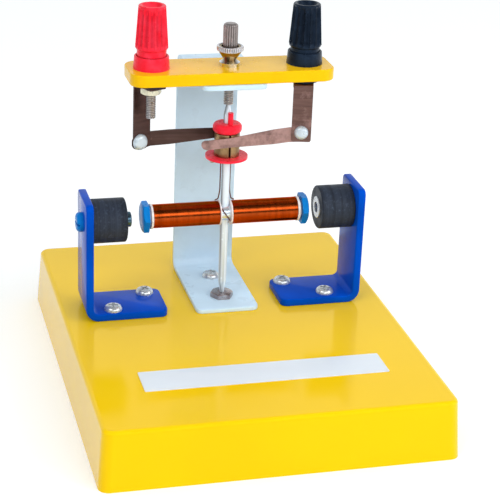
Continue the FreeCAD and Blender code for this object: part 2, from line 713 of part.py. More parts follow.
def build_wires():
    """Enamelled wire between the windings, and from each winding up to its solder joint."""
    back, z = size("axis_back"), size("base_rise") + size("axis_rise")
    near, wire, cheek = size("coil_in"), size("wire_dia"), size("cheek_dia") / 2
    hug = size("core_dia") / 2 + wire * 0.75
    near_in = near - 0.15
    crossing = wire_along([(-near_in, back - hug * 0.72, z + hug * 0.78), (0, back - hug * 1.06, z),
                           (near_in, back - hug * 0.72, z - hug * 0.78)])
    flange, lift = size("base_rise") + size("flange_rise"), size("coil_dia") / 2 + wire * 0.6
    beside, behind = size("shaft_dia") / 2 + 0.38, back + 0.9
    leads = []
    for way in (-1, 1):
        leads.append(wire_along([
            (way * (near + size("inner_cheek") + 1.4), behind, z + lift),
            (way * 2.6, behind, z + cheek + 0.65), (way * beside, behind, z + cheek + 4.0),
            (way * beside, behind, flange - 3.0), (way * 2.6, back + 0.3, flange - 0.7),
            (way * (size("solder_out") - 1.5), back - 2.0, flange - 0.6)]))
    for label, shapes in (("crossover_wire", [crossing]), ("lead_wires", leads)):
        feature = doc.addObject("Part::Feature", label)
        feature.Label = label
        feature.Shape = Part.makeCompound(shapes) if len(shapes) > 1 else shapes[0]
        nodes.append(feature)


# ---------------------------------------------------------------- brush gear
def brush_outline(side):
    """Plan line of one brush leaf, from its free end at the rivet to its tip."""
    way = -1 if side == "left" else 1
    turn = math.radians(size(f"{side}_turn"))
    half = size("brush_wall") / 2
    if side == "left":
        local_y = -(size("strip_out") + half)
    else:
        local_y = -(size("strip_out") - size("strip_wall") - half)
    stud = Vector(way * size(f"{side}_post"), size("axis_back"), 0)
    spin = Rotation(Vector(0, 0, 1), math.degrees(turn))
    rivet = stud + spin.multVec(Vector(size(f"{side}_rivet_aside"), local_y, 0))
    along = spin.multVec(Vector(-1, 0, 0))
    touch = size("segment_dia") / 2 + size("brush_gap") + half
    front = way * -1
    return rivet, along, touch, front


def build_brush(side):
    way, sign = (-1, "-") if side == "left" else (1, "")
    drop, rivet_drop, aside = f"{side}_drop", f"{side}_rivet_drop", f"{side}_rivet_aside"
    stud = (f"{sign}{side}_post", "axis_back", TAB_TOP)

    bracket = new_body(f"{side}_brush_bracket")
    turn_about_z(bracket, f"{side}_turn")
    for letter, text in zip("xyz", stud):
        bracket.setExpression(f"Placement.Base.{letter}", bound(text))
    pad(bracket, "YZ_Plane",
        [("tab_back", "0"), ("-strip_out", "0"), ("-strip_out", f"-{drop}"),
         ("-strip_out + strip_wall", f"-{drop}"), ("-strip_out + strip_wall", "-strip_wall"),
         ("tab_back", "-strip_wall")], "strip_wide", middle=True)
    y_out, t = -size("strip_out"), size("strip_wall")
    bend = lambda e, y, z: (runs_along(e, ALONG_X) and abs(e.CenterOfMass.y - y) < 0.01
                            and abs(e.CenterOfMass.z - z) < 0.01)
    round_off(bracket, lambda e: bend(e, y_out, 0), "strip_bend + strip_wall")
    round_off(bracket, lambda e: bend(e, y_out + t, -t), "strip_bend")
    low = -size(drop)
    round_off(bracket, lambda e: runs_along(e, ALONG_Y) and abs(e.CenterOfMass.z - low) < 0.01,
              f"{side}_round")
    round_off(bracket, lambda e: runs_along(e, ALONG_Z) and e.CenterOfMass.y > size("stud_dia"),
              "strip_wide / 2 - 2.9")
    drill(bracket, ("0", "0", "-strip_wall - 1"), "(stud_dia + 2 * play)", "strip_wall + 2")
    drill(bracket, (aside, "-strip_out - 1", f"-{rivet_drop}"), "rivet_dia", "strip_wall + 2",
          (Vector(1, 0, 0), -90))

    rivet_spot, along, touch, front = brush_outline(side)
    back, half = size("axis_back"), size("brush_wall") / 2
    round_end = size("brush_tall") / 2
    bend_point = rivet_spot + along * (size("strip_wide") / 2 + size(aside) + 1.0)
    contact = Vector(0, back + front * touch, 0)
    line = [rivet_spot - along * round_end, bend_point, contact + Vector(way * 2.0, 0, 0)]
    if side == "left":
        line += [contact + Vector(3.5, front * 0.5, 0)]
    else:
        line += [contact + Vector(-8.6, 0, 0), contact + Vector(-10.6, -front * 0.7, 0),
                 contact + Vector(-11.2, -front * 1.0, 0)]
    z_rivet = size("base_rise") + size("column_rise") - size("under_thick") - size(rivet_drop)
    plan = leaf_plan(line, half)
    leaf = plan.extrude(Vector(0, 0, 40))
    leaf.translate(Vector(0, 0, z_rivet - 20))
    profile = leaf_profile(side, rivet_spot, line[-1], z_rivet - size(f"{side}_sag"))
    leaf = leaf.common(profile)
    hole = Part.makeCylinder(size("rivet_dia") / 2, 4, rivet_spot - normal_of(along) * 2 + Vector(0, 0, z_rivet),
                             normal_of(along))
    feature = doc.addObject("Part::Feature", f"{side}_brush")
    feature.Label = f"{side}_brush"
    feature.Shape = leaf.cut(hole).Solids[0]
    nodes.append(feature)

    rivet = new_body(f"{side}_rivet")
    turn_about_z(rivet, f"{side}_turn")
    for letter, text in zip("xyz", (stud[0], stud[1], f"{TAB_TOP} - {rivet_drop}")):
        rivet.setExpression(f"Placement.Base.{letter}", bound(text))
    # the domed head faces the front of the motor, the clenched end the back
    if side == "left":
        seat, tail_seat, facing = "-strip_out + strip_wall", "-strip_out - brush_wall", 1
    else:
        seat, tail_seat, facing = "-strip_out", "-strip_out + strip_wall + brush_wall", -1
    turn = (Vector(1, 0, 0), -90 * facing)
    grip = "(strip_wall + brush_wall)"
    start = f"{seat} - {facing} * {grip}"
    primitive(rivet, "AdditiveCylinder", (aside, start, "0"), turn, Radius="rivet_dia / 2", Height=grip)
    primitive(rivet, "AdditiveCylinder", (aside, seat, "0"), turn, Radius=f"{side}_rivet_head / 2",
              Height="rivet_rise")
    y_top = (-size("strip_out") + size("strip_wall") + size("rivet_rise") if side == "left"
             else -size("strip_out") - size("rivet_rise"))
    round_off(rivet, lambda e: abs(e.BoundBox.YMin - y_top) < 0.01 and abs(e.BoundBox.YMax - y_top) < 0.01,
              "rivet_rise * 0.94")
    primitive(rivet, "AdditiveCylinder", (aside, f"{tail_seat} - {facing} * 0.6", "0"), turn,
              Radius="rivet_dia * 0.72", Height="0.6")


def normal_of(along):
    return Vector(-along.y, along.x, 0)


def leaf_plan(line, half):
    """A strip of constant thickness along a plan line, as a flat face."""
    left, right = [], []
    count = len(line)
    for i, point in enumerate(line):
        before = (line[i] - line[i - 1]).normalize() if i else (line[1] - line[0]).normalize()
        after = (line[i + 1] - line[i]).normalize() if i < count - 1 else before
        middle = (before + after).normalize()
        side = normal_of(middle) * (half / middle.dot(after))
        left.append(point + side)
        right.append(point - side)
    ring = left + right[::-1]
    return Part.Face(Part.makePolygon(ring + [ring[0]]))


def leaf_profile(side, rivet_spot, tip, z_start):
    """Side view of the leaf: round at the rivet, tapering and tilted towards its round tip."""
    way = -1 if side == "left" else 1
    tall, slim = size("brush_tall") / 2, size("brush_tip") / 2
    x0, x1 = rivet_spot.x, tip.x + way * slim
    slope = size(f"{side}_tilt") / abs(x0)
    x_taper = x0 * 0.62
    lift = lambda x: z_start + slope * abs(x0 - x)
    start_low, start_high = Vector(x0, 0, z_start - tall), Vector(x0, 0, z_start + tall)
    far = Vector(x0 + way * tall, 0, z_start)
    edges = [Part.Arc(start_low, far, start_high).toShape()]
    upper = [start_high, Vector(x_taper, 0, lift(x_taper) + tall), Vector(0, 0, lift(0) + slim),
             Vector(x1, 0, lift(x1) + slim)]
    lower = [Vector(x1, 0, lift(x1) - slim), Vector(0, 0, lift(0) - slim),
             Vector(x_taper, 0, lift(x_taper) - tall), start_low]
    edges += [Part.LineSegment(a, b).toShape() for a, b in zip(upper, upper[1:])]
    edges.append(Part.Arc(upper[-1], Vector(tip.x, 0, lift(x1)), lower[0]).toShape())
    edges += [Part.LineSegment(a, b).toShape() for a, b in zip(lower, lower[1:])]
    face = Part.Face(Part.Wire(edges))
    solid = face.extrude(Vector(0, 60, 0))
    solid.translate(Vector(0, size("axis_back") - 30, 0))
    return solid


# ---------------------------------------------------------------- binding posts
def build_post(side, colour):
    sign = "-" if side == "left" else ""
    at = (f"{sign}{side}_post", "axis_back")
    stud = new_body(f"{side}_stud", at=(at[0], at[1], BAR_TOP))
    revolve(stud, [("0", "-stud_long"), ("stud_dia / 2 - 0.4", "-stud_long"),
                   ("stud_dia / 2", "0.4 - stud_long"), ("stud_dia / 2", "post_seat"),
                   ("post_dia / 2", "post_seat"), ("post_dia / 2", "post_rise"), ("0", "post_rise")])
    drill(stud, ("0", "0", "post_rise - socket_deep"), "socket_dia", "socket_deep + 1")
    drill(stud, ("-post_dia", "0", "cross_rise"), "cross_hole", "2 * post_dia", TO_RIGHT)

    collar = new_body(f"{colour}_collar", at=(at[0], at[1], BAR_TOP))
    revolve(collar, [("stud_dia / 2", "-spigot_long"), ("spigot_dia / 2", "-spigot_long"),
                     ("spigot_dia / 2", "0"), ("collar_wide / 2", "0"), ("collar_top / 2", "collar_rise"),
                     ("cap_neck / 2 + 0.3", "collar_rise"),
                     ("cap_neck / 2 + 0.3", "collar_rise - collar_recess"),
                     ("post_dia / 2", "collar_rise - collar_recess"), ("post_dia / 2", "post_seat"),
                     ("stud_dia / 2", "post_seat")])
    round_off(collar, rim_at(size("collar_rise"), size("collar_top") / 2), "0.4")

    cap_low = "(collar_rise - collar_recess + seat_gap)"
    insert_low = f"({cap_low} + 1)"
    cap_seat = (at[0], at[1], f"{BAR_TOP} + {colour}_lift")
    insert = new_body(f"{colour}_cap_insert", at=cap_seat)
    primitive(insert, "AdditiveCylinder", ("0", "0", insert_low), Radius="post_dia / 2 + play + insert_wall",
              Height="insert_tall")
    drill(insert, ("0", "0", f"{insert_low} - 1"), "(post_dia + 2 * play)", "insert_tall + 2")

    cap = new_body(f"{colour}_cap", at=cap_seat)
    bore, seat = "post_dia / 2 + play + insert_wall + play", "post_dia / 2 + 0.2"
    top_in = f"({insert_low} + insert_tall + play)"
    revolve(cap, [(seat, cap_low), ("cap_neck / 2", cap_low), ("cap_neck / 2", "neck_rise - cap_bevel / 2"),
                  ("cap_low / 2", "neck_rise + cap_bevel / 2"), ("cap_high / 2", "cap_rise"),
                  ("cap_mouth / 2", "cap_rise"), ("cap_throat / 2", "post_rise + 1"),
                  ("cap_throat / 2", "post_rise + seat_gap"), (seat, "post_rise + seat_gap"),
                  (seat, top_in), (bore, top_in), (bore, f"{insert_low} - play"),
                  (seat, f"{insert_low} - play")])
    round_off(cap, rim_at(size("cap_rise"), size("cap_high") / 2), "cap_brim")
    lean = math.degrees(math.atan2((size("cap_low") - size("cap_high")) / 2,
                                   size("cap_rise") - size("neck_rise")))
    flute = primitive(cap, "SubtractiveCylinder",
                      ("(cap_low + flute_dia * 0.62) / 2", "0", "neck_rise - cap_bevel"),
                      (Vector(0, 1, 0), -lean), Radius="flute_dia / 2", Height="cap_rise")
    ring_of(cap, flute, "flute_count")

    return stud


def ring_of(body, feature, count):
    """Repeats a feature about the body's own Z."""
    before = body.Shape.Volume
    pattern = body.newObject("PartDesign::PolarPattern", "around")
    pattern.Originals = [feature]
    z_axis = [f for f in body.Origin.OriginFeatures if f.Role == "Z_Axis"]
    pattern.Axis = (z_axis[0], [""])
    pattern.Angle = 360
    pattern.setExpression("Occurrences", bound(count))
    body.Tip = pattern
    doc.recompute()
    assert body.Shape.Volume < before, body.Label + ": a pattern cuts nothing"


def build_post_undersides():
    nuts, rings = [], []
    for side, sign in (("left", "-"), ("right", "")):
        at = (f"{sign}{side}_post", "axis_back")
        nuts.append(hex_nut(f"{side}_terminal_nut", at, f"{TAB_TOP} - strip_wall - seat_gap - thin_nut",
                            "nut_flats", "thin_nut", "stud_dia"))
        ring = new_body(f"{side}_under_ring", at=(at[0], at[1], ARM_TOP), node=False)
        revolve(ring, [("stud_dia / 2", "-under_thick + seat_gap"),
                       ("under_wide / 2", "-under_thick + seat_gap"), ("under_wide / 2", "0"),
                       ("spigot_dia / 2", "0"), ("spigot_dia / 2", "bar_thick - spigot_long"),
                       ("stud_dia / 2", "bar_thick - spigot_long")])
        rings.append(ring)
    group("terminal_nuts", nuts)
    group("underside_washers", rings)


# ---------------------------------------------------------------- pivot screw and lock nut
def knurl(body, dia, low, high, count):
    """V-shaped grooves around a rim, from `low` to `high`."""
    cutter = primitive(body, "SubtractiveBox", (f"{dia} / 2 - knurl_deep / 2", f"-knurl_deep / 2", low),
                       (Vector(0, 0, 1), 0), Length="knurl_deep", Width="knurl_deep",
                       Height=f"{high} - ({low})")
    ring_of(body, cutter, count)


def build_pivot():
    rod = new_body("pivot_rod", at=("0", "axis_back", TIP_TOP))
    top = f"({BAR_TOP} + pivot_head_top - pivot_crown - 0.6 - {TIP_TOP})"
    low = "(pivot_gap - pivot_cup)"
    revolve(rod, [("0", low), ("pivot_dia / 2 - 0.3", low), ("pivot_dia / 2", f"{low} + 0.3"),
                  ("pivot_dia / 2", top), ("0", top)])
    primitive(rod, "SubtractiveCone", ("0", "0", f"{low} - 0.1"),
              Radius1="(pivot_dia / 2 - 0.4) * (pivot_cup + 0.1) / pivot_cup", Radius2="0.01",
              Height="pivot_cup + 0.1")

    head = new_body("pivot_head", at=("0", "axis_back", BAR_TOP))
    inside = "pivot_head_top - pivot_crown - 0.6 + play"
    revolve(head, [("pivot_dia / 2 + play", "pivot_head_low"), ("pivot_head / 2", "pivot_head_low"),
                   ("pivot_head / 2", "pivot_head_top"), ("0", "pivot_head_top"), ("0", inside),
                   ("pivot_dia / 2 + play", inside)])
    round_off(head, rim_at(size("pivot_head_top"), size("pivot_head") / 2), "pivot_crown")
    knurl(head, "pivot_head", "pivot_head_low - 1", "pivot_head_top - pivot_crown", "knurl_count")

    core = new_body("lock_nut_core", at=("0", "axis_back", BAR_TOP))
    bore = "pivot_dia / 2 + play"
    revolve(core, [(bore, "0"), ("nut_foot / 2", "0"), ("nut_foot / 2", "nut_foot_tall"),
                   ("nut_waist / 2", "nut_waist_rise"), ("nut_shoulder / 2", "nut_shoulder_rise - 0.3"),
                   ("nut_shoulder / 2", "nut_shoulder_rise"), ("nut_hub / 2", "nut_shoulder_rise"),
                   ("nut_hub / 2", "rim_top - 0.2"), ("nut_recess / 2", "rim_top - 0.2"),
                   ("nut_recess / 2", "nut_floor"), (bore, "nut_floor")])
    rim = new_body("lock_nut_rim", at=("0", "axis_back", BAR_TOP))
    rim_low = "nut_shoulder_rise + play"
    revolve(rim, [("nut_hub / 2 + play", rim_low), ("rim_dia / 2", rim_low), ("rim_dia / 2", "rim_top"),
                  ("nut_hub / 2 + play", "rim_top")])
    knurl(rim, "rim_dia", f"{rim_low} - 1", "rim_top + 1", "rim_count")


build_base()
build_fasteners()
build_column()
build_magnet_side("left", TO_LEFT)
build_magnet_side("right", TO_RIGHT)
build_armature()
build_commutator()
build_wires()
build_brush("left")
build_brush("right")
build_post("left", "red")
build_post("right", "black")
build_post_undersides()
build_pivot()
doc.recompute()

# ---------------------------------------------------------------- checks, then one file for each sub-part
for thing in doc.Objects:
    bad = [state for state in thing.State if state in ("Invalid", "Error")]
    assert not bad, f"{thing.Label}: {bad}"
for node in nodes:
    assert not node.Shape.isNull(), node.Label + " has no shape"
    assert node.Shape.isValid(), node.Label + " is not valid"
    assert node.Shape.Solids, node.Label + " has no solid"

os.makedirs("parts", exist_ok=True)
for node in nodes:
    node.Shape.exportStep(os.path.join("parts", node.Label + ".step"))
print(len(nodes), "sub-parts")
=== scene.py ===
import json
import math

import bmesh
import bpy
from bpy.props import FloatProperty, FloatVectorProperty, IntProperty, PointerProperty
from mathutils import Matrix, Vector


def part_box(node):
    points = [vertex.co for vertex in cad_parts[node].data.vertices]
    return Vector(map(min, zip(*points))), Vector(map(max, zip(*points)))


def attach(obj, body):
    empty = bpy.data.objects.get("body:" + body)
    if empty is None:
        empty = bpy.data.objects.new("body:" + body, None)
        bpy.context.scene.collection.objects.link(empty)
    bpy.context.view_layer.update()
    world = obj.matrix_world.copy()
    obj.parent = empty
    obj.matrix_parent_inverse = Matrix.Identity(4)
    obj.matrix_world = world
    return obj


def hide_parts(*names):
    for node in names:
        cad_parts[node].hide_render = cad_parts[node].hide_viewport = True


bl_info = {
    "name": "Demonstration electric motor",
    "version": (1, 0, 0),
    "blender": (4, 5, 0),
    "location": "3D View > Sidebar > Motor",
    "description": "Finishes the packed model of a classroom electric motor and sets its stage",
    "category": "Object",
}

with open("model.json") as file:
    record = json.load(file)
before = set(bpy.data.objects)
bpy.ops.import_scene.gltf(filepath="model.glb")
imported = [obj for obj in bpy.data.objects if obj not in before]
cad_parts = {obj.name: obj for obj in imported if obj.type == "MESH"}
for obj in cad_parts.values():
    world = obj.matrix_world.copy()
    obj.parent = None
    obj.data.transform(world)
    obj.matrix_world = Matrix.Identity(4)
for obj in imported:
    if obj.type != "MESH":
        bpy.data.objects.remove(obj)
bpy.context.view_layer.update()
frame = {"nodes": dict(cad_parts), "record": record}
MM = 0.001


def corners(node):
    """A node's lowest and highest corners, in millimetres."""
    return [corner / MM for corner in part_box(node)]


def heights(node):
    """How high a node's underside and top are, in millimetres."""
    return [corner.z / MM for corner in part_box(node)]


def middle(node):
    low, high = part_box(node)
    return (low + high) / 2 / MM


def span(node):
    low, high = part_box(node)
    return (high - low) / MM


SHAFT = middle("shaft")
ARMATURE_Z = middle("core_bolt").z
BAR_TOP = heights("crossbar")[1]
BASE_TOP = heights("base_shell")[1]


# ---------------------------------------------------------------- what a user would change
def length(label, words, value):
    return FloatProperty(name=label, description=words, default=value * MM, min=0.0, unit="LENGTH",
                         precision=5)


def count(label, words, value, least):
    return IntProperty(name=label, description=words, default=value, min=least)


def colour(label, words, value):
    return FloatVectorProperty(name=label, description=words, default=value, size=3, min=0.0, max=1.0,
                               subtype="COLOR")


def power(label, words, value):
    return FloatProperty(name=label, description=words, default=value, min=0.0, unit="POWER")


class MotorSizes(bpy.types.PropertyGroup):
    winding_pitch: length("Winding pitch", "Distance from one turn of wire to the next", 0.44)
    winding_groove: length("Winding groove", "How deep the gap between two turns is", 0.055)
    thread_pitch: length("Thread pitch", "Rise of the studs' and the pivot screw's thread in one turn", 0.7)
    thread_depth: length("Thread depth", "How deep the threads are cut", 0.28)
    flute_count: count("Cap flutes", "Flutes around each binding post cap", 16, 4)
    flute_depth: length("Flute depth", "How deep the flutes of the caps are", 0.85)
    head_flutes: count("Pivot head flutes", "Flutes around the pivot screw's head", 18, 4)
    rim_teeth: count("Lock nut knurl", "Ridges around the lock nut's rim", 34, 6)
    knurl_depth: length("Knurl depth", "How deep the knurls are", 0.42)
    sheet_edge: length("Sheet edge", "Rounding of the edges of the bent sheets", 0.35)
    recess_width: length("Recess width", "Width of each arm of a screw's cross recess", 1.0)
    recess_length: length("Recess length", "Length of a screw's cross recess", 3.9)
    recess_depth: length("Recess depth", "Depth of a screw's cross recess", 1.2)


class MotorColours(bpy.types.PropertyGroup):
    moulding: colour("Base moulding", "Colour of the plastic base", (0.97, 0.61, 0.002))
    board: colour("Crossbar", "Colour of the crossbar", (0.96, 0.54, 0.003))
    column: colour("Column paint", "Colour of the column's paint", (0.64, 0.81, 0.95))
    bracket: colour("Bracket paint", "Colour of the magnet brackets' paint", (0.001, 0.068, 0.50))
    cap: colour("Armature cap", "Colour of the armature's hexagon heads", (0.004, 0.18, 0.55))
    magnet: colour("Magnet", "Colour of the ferrite magnets", (0.022, 0.029, 0.046))
    wire: colour("Enamelled wire", "Colour of the windings", (0.46, 0.066, 0.009))
    cheek: colour("Winding cheek", "Colour of the cheeks beside the windings", (0.86, 0.78, 0.76))
    red: colour("Red plastic", "Colour of the red plastic pieces", (0.92, 0.018, 0.040))
    black: colour("Black plastic", "Colour of the black plastic pieces", (0.007, 0.012, 0.022))
    strip: colour("Brush strip", "Colour of the tarnished bronze strips", (0.085, 0.048, 0.042))
    strip_bright: colour("Bright strip", "Colour of the strips where they are rubbed", (0.46, 0.28, 0.26))
    brass: colour("Brass", "Colour of the commutator segments", (0.36, 0.23, 0.11))
    nickel: colour("Nickel", "Colour of the plated pieces", (0.72, 0.74, 0.76))
    gunmetal: colour("Pivot head", "Colour of the pivot screw's head", (0.36, 0.31, 0.30))
    steel: colour("Shaft steel", "Colour of the shaft", (0.80, 0.90, 1.0))
    rivet: colour("Rivet", "Colour of the rivets", (0.62, 0.70, 0.77))
    label: colour("Label", "Colour of the bare label plate", (0.76, 0.80, 0.86))


class MotorStage(bpy.types.PropertyGroup):
    lens: FloatProperty(name="Lens", description="Focal length of the camera in millimetres", default=116.45,
                        min=10.0)
    ambient: FloatProperty(name="Room light", description="Light that the room adds from all sides",
                           default=0.60, min=0.0)
    key: power("Key light", "Power of the large lamp at the left", 5.8)
    fill: power("Fill light", "Power of the lamp at the right", 6.4)
    top: power("Top light", "Power of the lamp overhead", 2.2)
    front: power("Front light", "Power of the long lamp in front", 6.4)


def sizes():
    return bpy.context.scene.motor_sizes


# ---------------------------------------------------------------- node trees
class Wire:
    """What leaves a node. Arithmetic on a wire adds Math nodes to its tree."""

    def __init__(self, socket):
        self.socket = socket
        self.tree = socket.id_data

    def math(self, operation, *others, **settings):
        return number(self.tree, operation, self, *others, **settings)

    def __add__(self, other):
        return self.math("ADD", other)

    def __sub__(self, other):
        return self.math("SUBTRACT", other)

    def __rsub__(self, other):
        return number(self.tree, "SUBTRACT", other, self)

    def __mul__(self, other):
        return self.math("MULTIPLY", other)

    def __truediv__(self, other):
        return self.math("DIVIDE", other)


def feed(tree, socket, value):
    """Joins a wire to a socket, or sets the socket's number."""
    if isinstance(value, Wire):
        tree.links.new(value.socket, socket)
    else:
        socket.default_value = value


def new_node(tree, kind, inputs, **settings):
    node = tree.nodes.new(kind)
    for key, value in settings.items():
        setattr(node, key, value)
    for key, value in inputs.items():
        feed(tree, node.inputs[key], value)
    return node


def wire(tree, kind, inputs, **settings):
    """The first output of a new node."""
    return Wire(new_node(tree, kind, inputs, **settings).outputs[0])


def number(tree, operation, *values, clamp=False):
    """The result of one Math node."""
    return wire(tree, "ShaderNodeMath", dict(enumerate(values)), operation=operation, use_clamp=clamp)


def vector(tree, x=0.0, y=0.0, z=0.0):
    return wire(tree, "ShaderNodeCombineXYZ", {0: x, 1: y, 2: z})


def parts_of(tree, whole):
    """The three numbers of a vector."""
    return [Wire(socket) for socket in new_node(tree, "ShaderNodeSeparateXYZ", {0: whole}).outputs]


def between(tree, share, first, second):
    """A number that goes from the first to the second as the share grows."""
    return wire(tree, "ShaderNodeMix", {"Factor": share, "A": first, "B": second}, data_type="FLOAT")


def blended(tree, share, first, second, **settings):
    """The same for colours, each of them a wire or three numbers."""
    node = new_node(tree, "ShaderNodeMix", {"Factor": share}, data_type="RGBA", **settings)
    for socket, value in ((node.inputs[6], first), (node.inputs[7], second)):
        feed(tree, socket, value if isinstance(value, Wire) else (*value, 1.0))
    return Wire(node.outputs[2])


def shape_tree(name, *labels):
    """A geometry tree with these inputs, and the way to read each of them as a wire."""
    tree = bpy.data.node_groups.new(name, "GeometryNodeTree")
    kinds = {"Geometry": "Geometry", "Seed": "Int", "Material": "Material"}
    for label in ("Geometry", *labels, "Material"):
        tree.interface.new_socket(label, in_out="INPUT", socket_type="NodeSocket" + kinds.get(label, "Float"))
    tree.interface.new_socket("Geometry", in_out="OUTPUT", socket_type="NodeSocketGeometry")
    entry = tree.nodes.new("NodeGroupInput")
    return tree, lambda label: Wire(entry.outputs[label])


def close_tree(tree, geometry, material):
    """Every tree ends the same way: real geometry with its material on it."""
    real = wire(tree, "GeometryNodeRealizeInstances", {"Geometry": geometry})
    painted = wire(tree, "GeometryNodeSetMaterial", {"Geometry": real, "Material": material})
    feed(tree, tree.nodes.new("NodeGroupOutput").inputs["Geometry"], painted)
    return tree


def place_of(tree):
    return parts_of(tree, wire(tree, "GeometryNodeInputPosition", {}))


def cylinder(tree, radius, depth, around, up=1, fill=1, **settings):
    return wire(tree, "GeometryNodeMeshCylinder", {
        "Vertices": around, "Side Segments": up, "Fill Segments": fill, "Radius": radius, "Depth": depth},
        **settings)


def raised(tree, geometry, rise):
    return wire(tree, "GeometryNodeTransform", {"Geometry": geometry, "Translation": vector(tree, z=rise)})


def placed(tree, geometry, position):
    """The same geometry with each of its points at a new place."""
    return wire(tree, "GeometryNodeSetPosition", {"Geometry": geometry, "Position": position})


def merged(tree, operation, first, second):
    """Two solids as one: in a difference the second is cut from the first."""
    node = new_node(tree, "GeometryNodeMeshBoolean", {}, operation=operation, solver="EXACT")
    feed(tree, node.inputs["Mesh 1" if operation == "DIFFERENCE" else "Mesh 2"], first)
    feed(tree, node.inputs["Mesh 2"], second)
    return Wire(node.outputs["Mesh"])


def ridge_tree(name):
    """Ridges or scooped flutes on a turned shape: straight ones, a thread, or both crossed."""
    tree, given = shape_tree(name, "Count around", "Turns per metre", "Depth", "Scooped", "Pointed",
                             "Low end", "High end", "Fade", "Least radius")
    x, y, z = place_of(tree)
    radius = (x * x + y * y).math("SQRT")
    turn = y.math("ARCTAN2", x) / (2 * math.pi)
    phase = turn * given("Count around") + z * given("Turns per metre")
    across = phase.math("FLOORED_MODULO", 1.0) * 2.0 - 1.0
    pointed = 1.0 - across.math("ABSOLUTE")
    rounded = (1.0 - across * across).math("MAXIMUM", 0.0).math("SQRT")
    hump = between(tree, given("Pointed"), rounded, pointed)
    swell = hump * (1.0 - given("Scooped") * 2.0) + (given("Scooped") - 1.0)
    above = (z - given("Low end")).math("DIVIDE", given("Fade"), clamp=True)
    below = (given("High end") - z).math("DIVIDE", given("Fade"), clamp=True)
    share = above * below * radius.math("GREATER_THAN", given("Least radius"))
    per_radius = swell * share * given("Depth") / radius.math("MAXIMUM", 1e-6)
    moved = wire(tree, "GeometryNodeSetPosition", {
        "Geometry": given("Geometry"), "Offset": vector(tree, x * per_radius, y * per_radius)})
    lowness = between(tree, given("Scooped"), 1.0 - hump, hump)
    marked = wire(tree, "GeometryNodeStoreNamedAttribute", {
        "Geometry": moved, "Name": "groove", "Value": lowness * share}, data_type="FLOAT", domain="POINT")
    return close_tree(tree, marked, given("Material"))


def screw_tree(name):
    """Pan-head screws with a cross recess, one at each point, each turned its own way."""
    tree, given = shape_tree(name, "Head radius", "Head rise", "Shank radius", "Shank length",
                             "Recess width", "Recess length", "Recess depth", "Seed")
    rise = given("Head rise")
    disc = cylinder(tree, given("Head radius"), rise, 48, 6, 8, fill_type="TRIANGLE_FAN")
    x, y, z = place_of(tree)
    reach = (x * x + y * y).math("SQRT") / given("Head radius")
    flatness, fullness, rim_share = 3.2, 0.55, 0.22
    dome = (1.0 - reach.math("POWER", flatness)).math("MAXIMUM", 0.0).math("POWER", fullness)
    height = (z / rise + 0.5) * rise * (dome * (1 - rim_share) + rim_share)
    head = placed(tree, disc, vector(tree, x, y, height))
    arms = []
    for wide, deep in (("Recess width", "Recess length"), ("Recess length", "Recess width")):
        side = vector(tree, given(wide), given(deep), given("Recess depth") * 2.0)
        arms.append(raised(tree, wire(tree, "GeometryNodeMeshCube", {"Size": side}), rise))
    cut = merged(tree, "DIFFERENCE", head, merged(tree, "UNION", *arms))
    shank = cylinder(tree, given("Shank radius"), given("Shank length"), 24)
    whole = new_node(tree, "GeometryNodeJoinGeometry", {})
    for solid in (raised(tree, shank, given("Shank length") * -0.5), cut):
        feed(tree, whole.inputs[0], solid)
    chance = new_node(tree, "FunctionNodeRandomValue", {"Seed": given("Seed")}, data_type="FLOAT")
    chance.inputs[3].default_value = 2 * math.pi
    standing = wire(tree, "GeometryNodeInstanceOnPoints", {
        "Points": given("Geometry"), "Instance": Wire(whole.outputs[0]),
        "Rotation": vector(tree, z=Wire(chance.outputs[1]))})
    return close_tree(tree, standing, given("Material"))


def nut_tree(name):
    """Hexagons with chamfered corners, as nuts or as heads, one standing on each point."""
    tree, given = shape_tree(name, "Across flats", "Height", "Bore", "Turn", "Chamfer below")
    flats, height = given("Across flats"), given("Height")
    corner, half = flats / math.sqrt(3), height * 0.5
    prism = cylinder(tree, corner, height, 6)
    barrel = cylinder(tree, corner, height * 0.9999, 72, 14)
    x, y, z = place_of(tree)
    above_foot = half + z + (1.0 - given("Chamfer below"))
    drop = (half - z).math("MINIMUM", above_foot)
    flat_circle, chamfer_slope = 0.475, 1.8
    radius = (corner * 1.01).math("MINIMUM", flats * flat_circle + drop * chamfer_slope)
    share = radius / corner
    lens = placed(tree, barrel, vector(tree, x * share, y * share, z))
    solid = merged(tree, "INTERSECT", prism, lens)
    drill = cylinder(tree, given("Bore") * 0.5, height * 3.0, 40)
    has_bore = wire(tree, "FunctionNodeCompare", {0: given("Bore"), 1: 1e-5}, operation="GREATER_THAN")
    either = wire(tree, "GeometryNodeSwitch", {
        "Switch": has_bore, "False": solid, "True": merged(tree, "DIFFERENCE", solid, drill)},
        input_type="GEOMETRY")
    standing = wire(tree, "GeometryNodeInstanceOnPoints", {
        "Points": given("Geometry"), "Instance": raised(tree, either, half),
        "Rotation": vector(tree, z=given("Turn"))})
    return close_tree(tree, standing, given("Material"))


TREES = {"ridges": ridge_tree, "pan_screws": screw_tree, "hexagons": nut_tree}


def through_tree(mesh, name, values):
    """The mesh that a geometry tree makes of this one; each tree is built the first time it's asked for."""
    tree = bpy.data.node_groups.get(name) or TREES[name](name)
    holder = bpy.data.objects.new("holder", mesh)
    bpy.context.scene.collection.objects.link(holder)
    modifier = holder.modifiers.new("shape", "NODES")
    modifier.node_group = tree
    for item in tree.interface.items_tree:
        if item.item_type == "SOCKET" and item.in_out == "INPUT" and item.name in values:
            modifier[item.identifier] = values[item.name]
    bpy.context.view_layer.update()
    graph = bpy.context.evaluated_depsgraph_get()
    made = bpy.data.meshes.new_from_object(holder.evaluated_get(graph), preserve_all_data_layers=True,
                                           depsgraph=graph)
    bpy.data.objects.remove(holder)
    return made


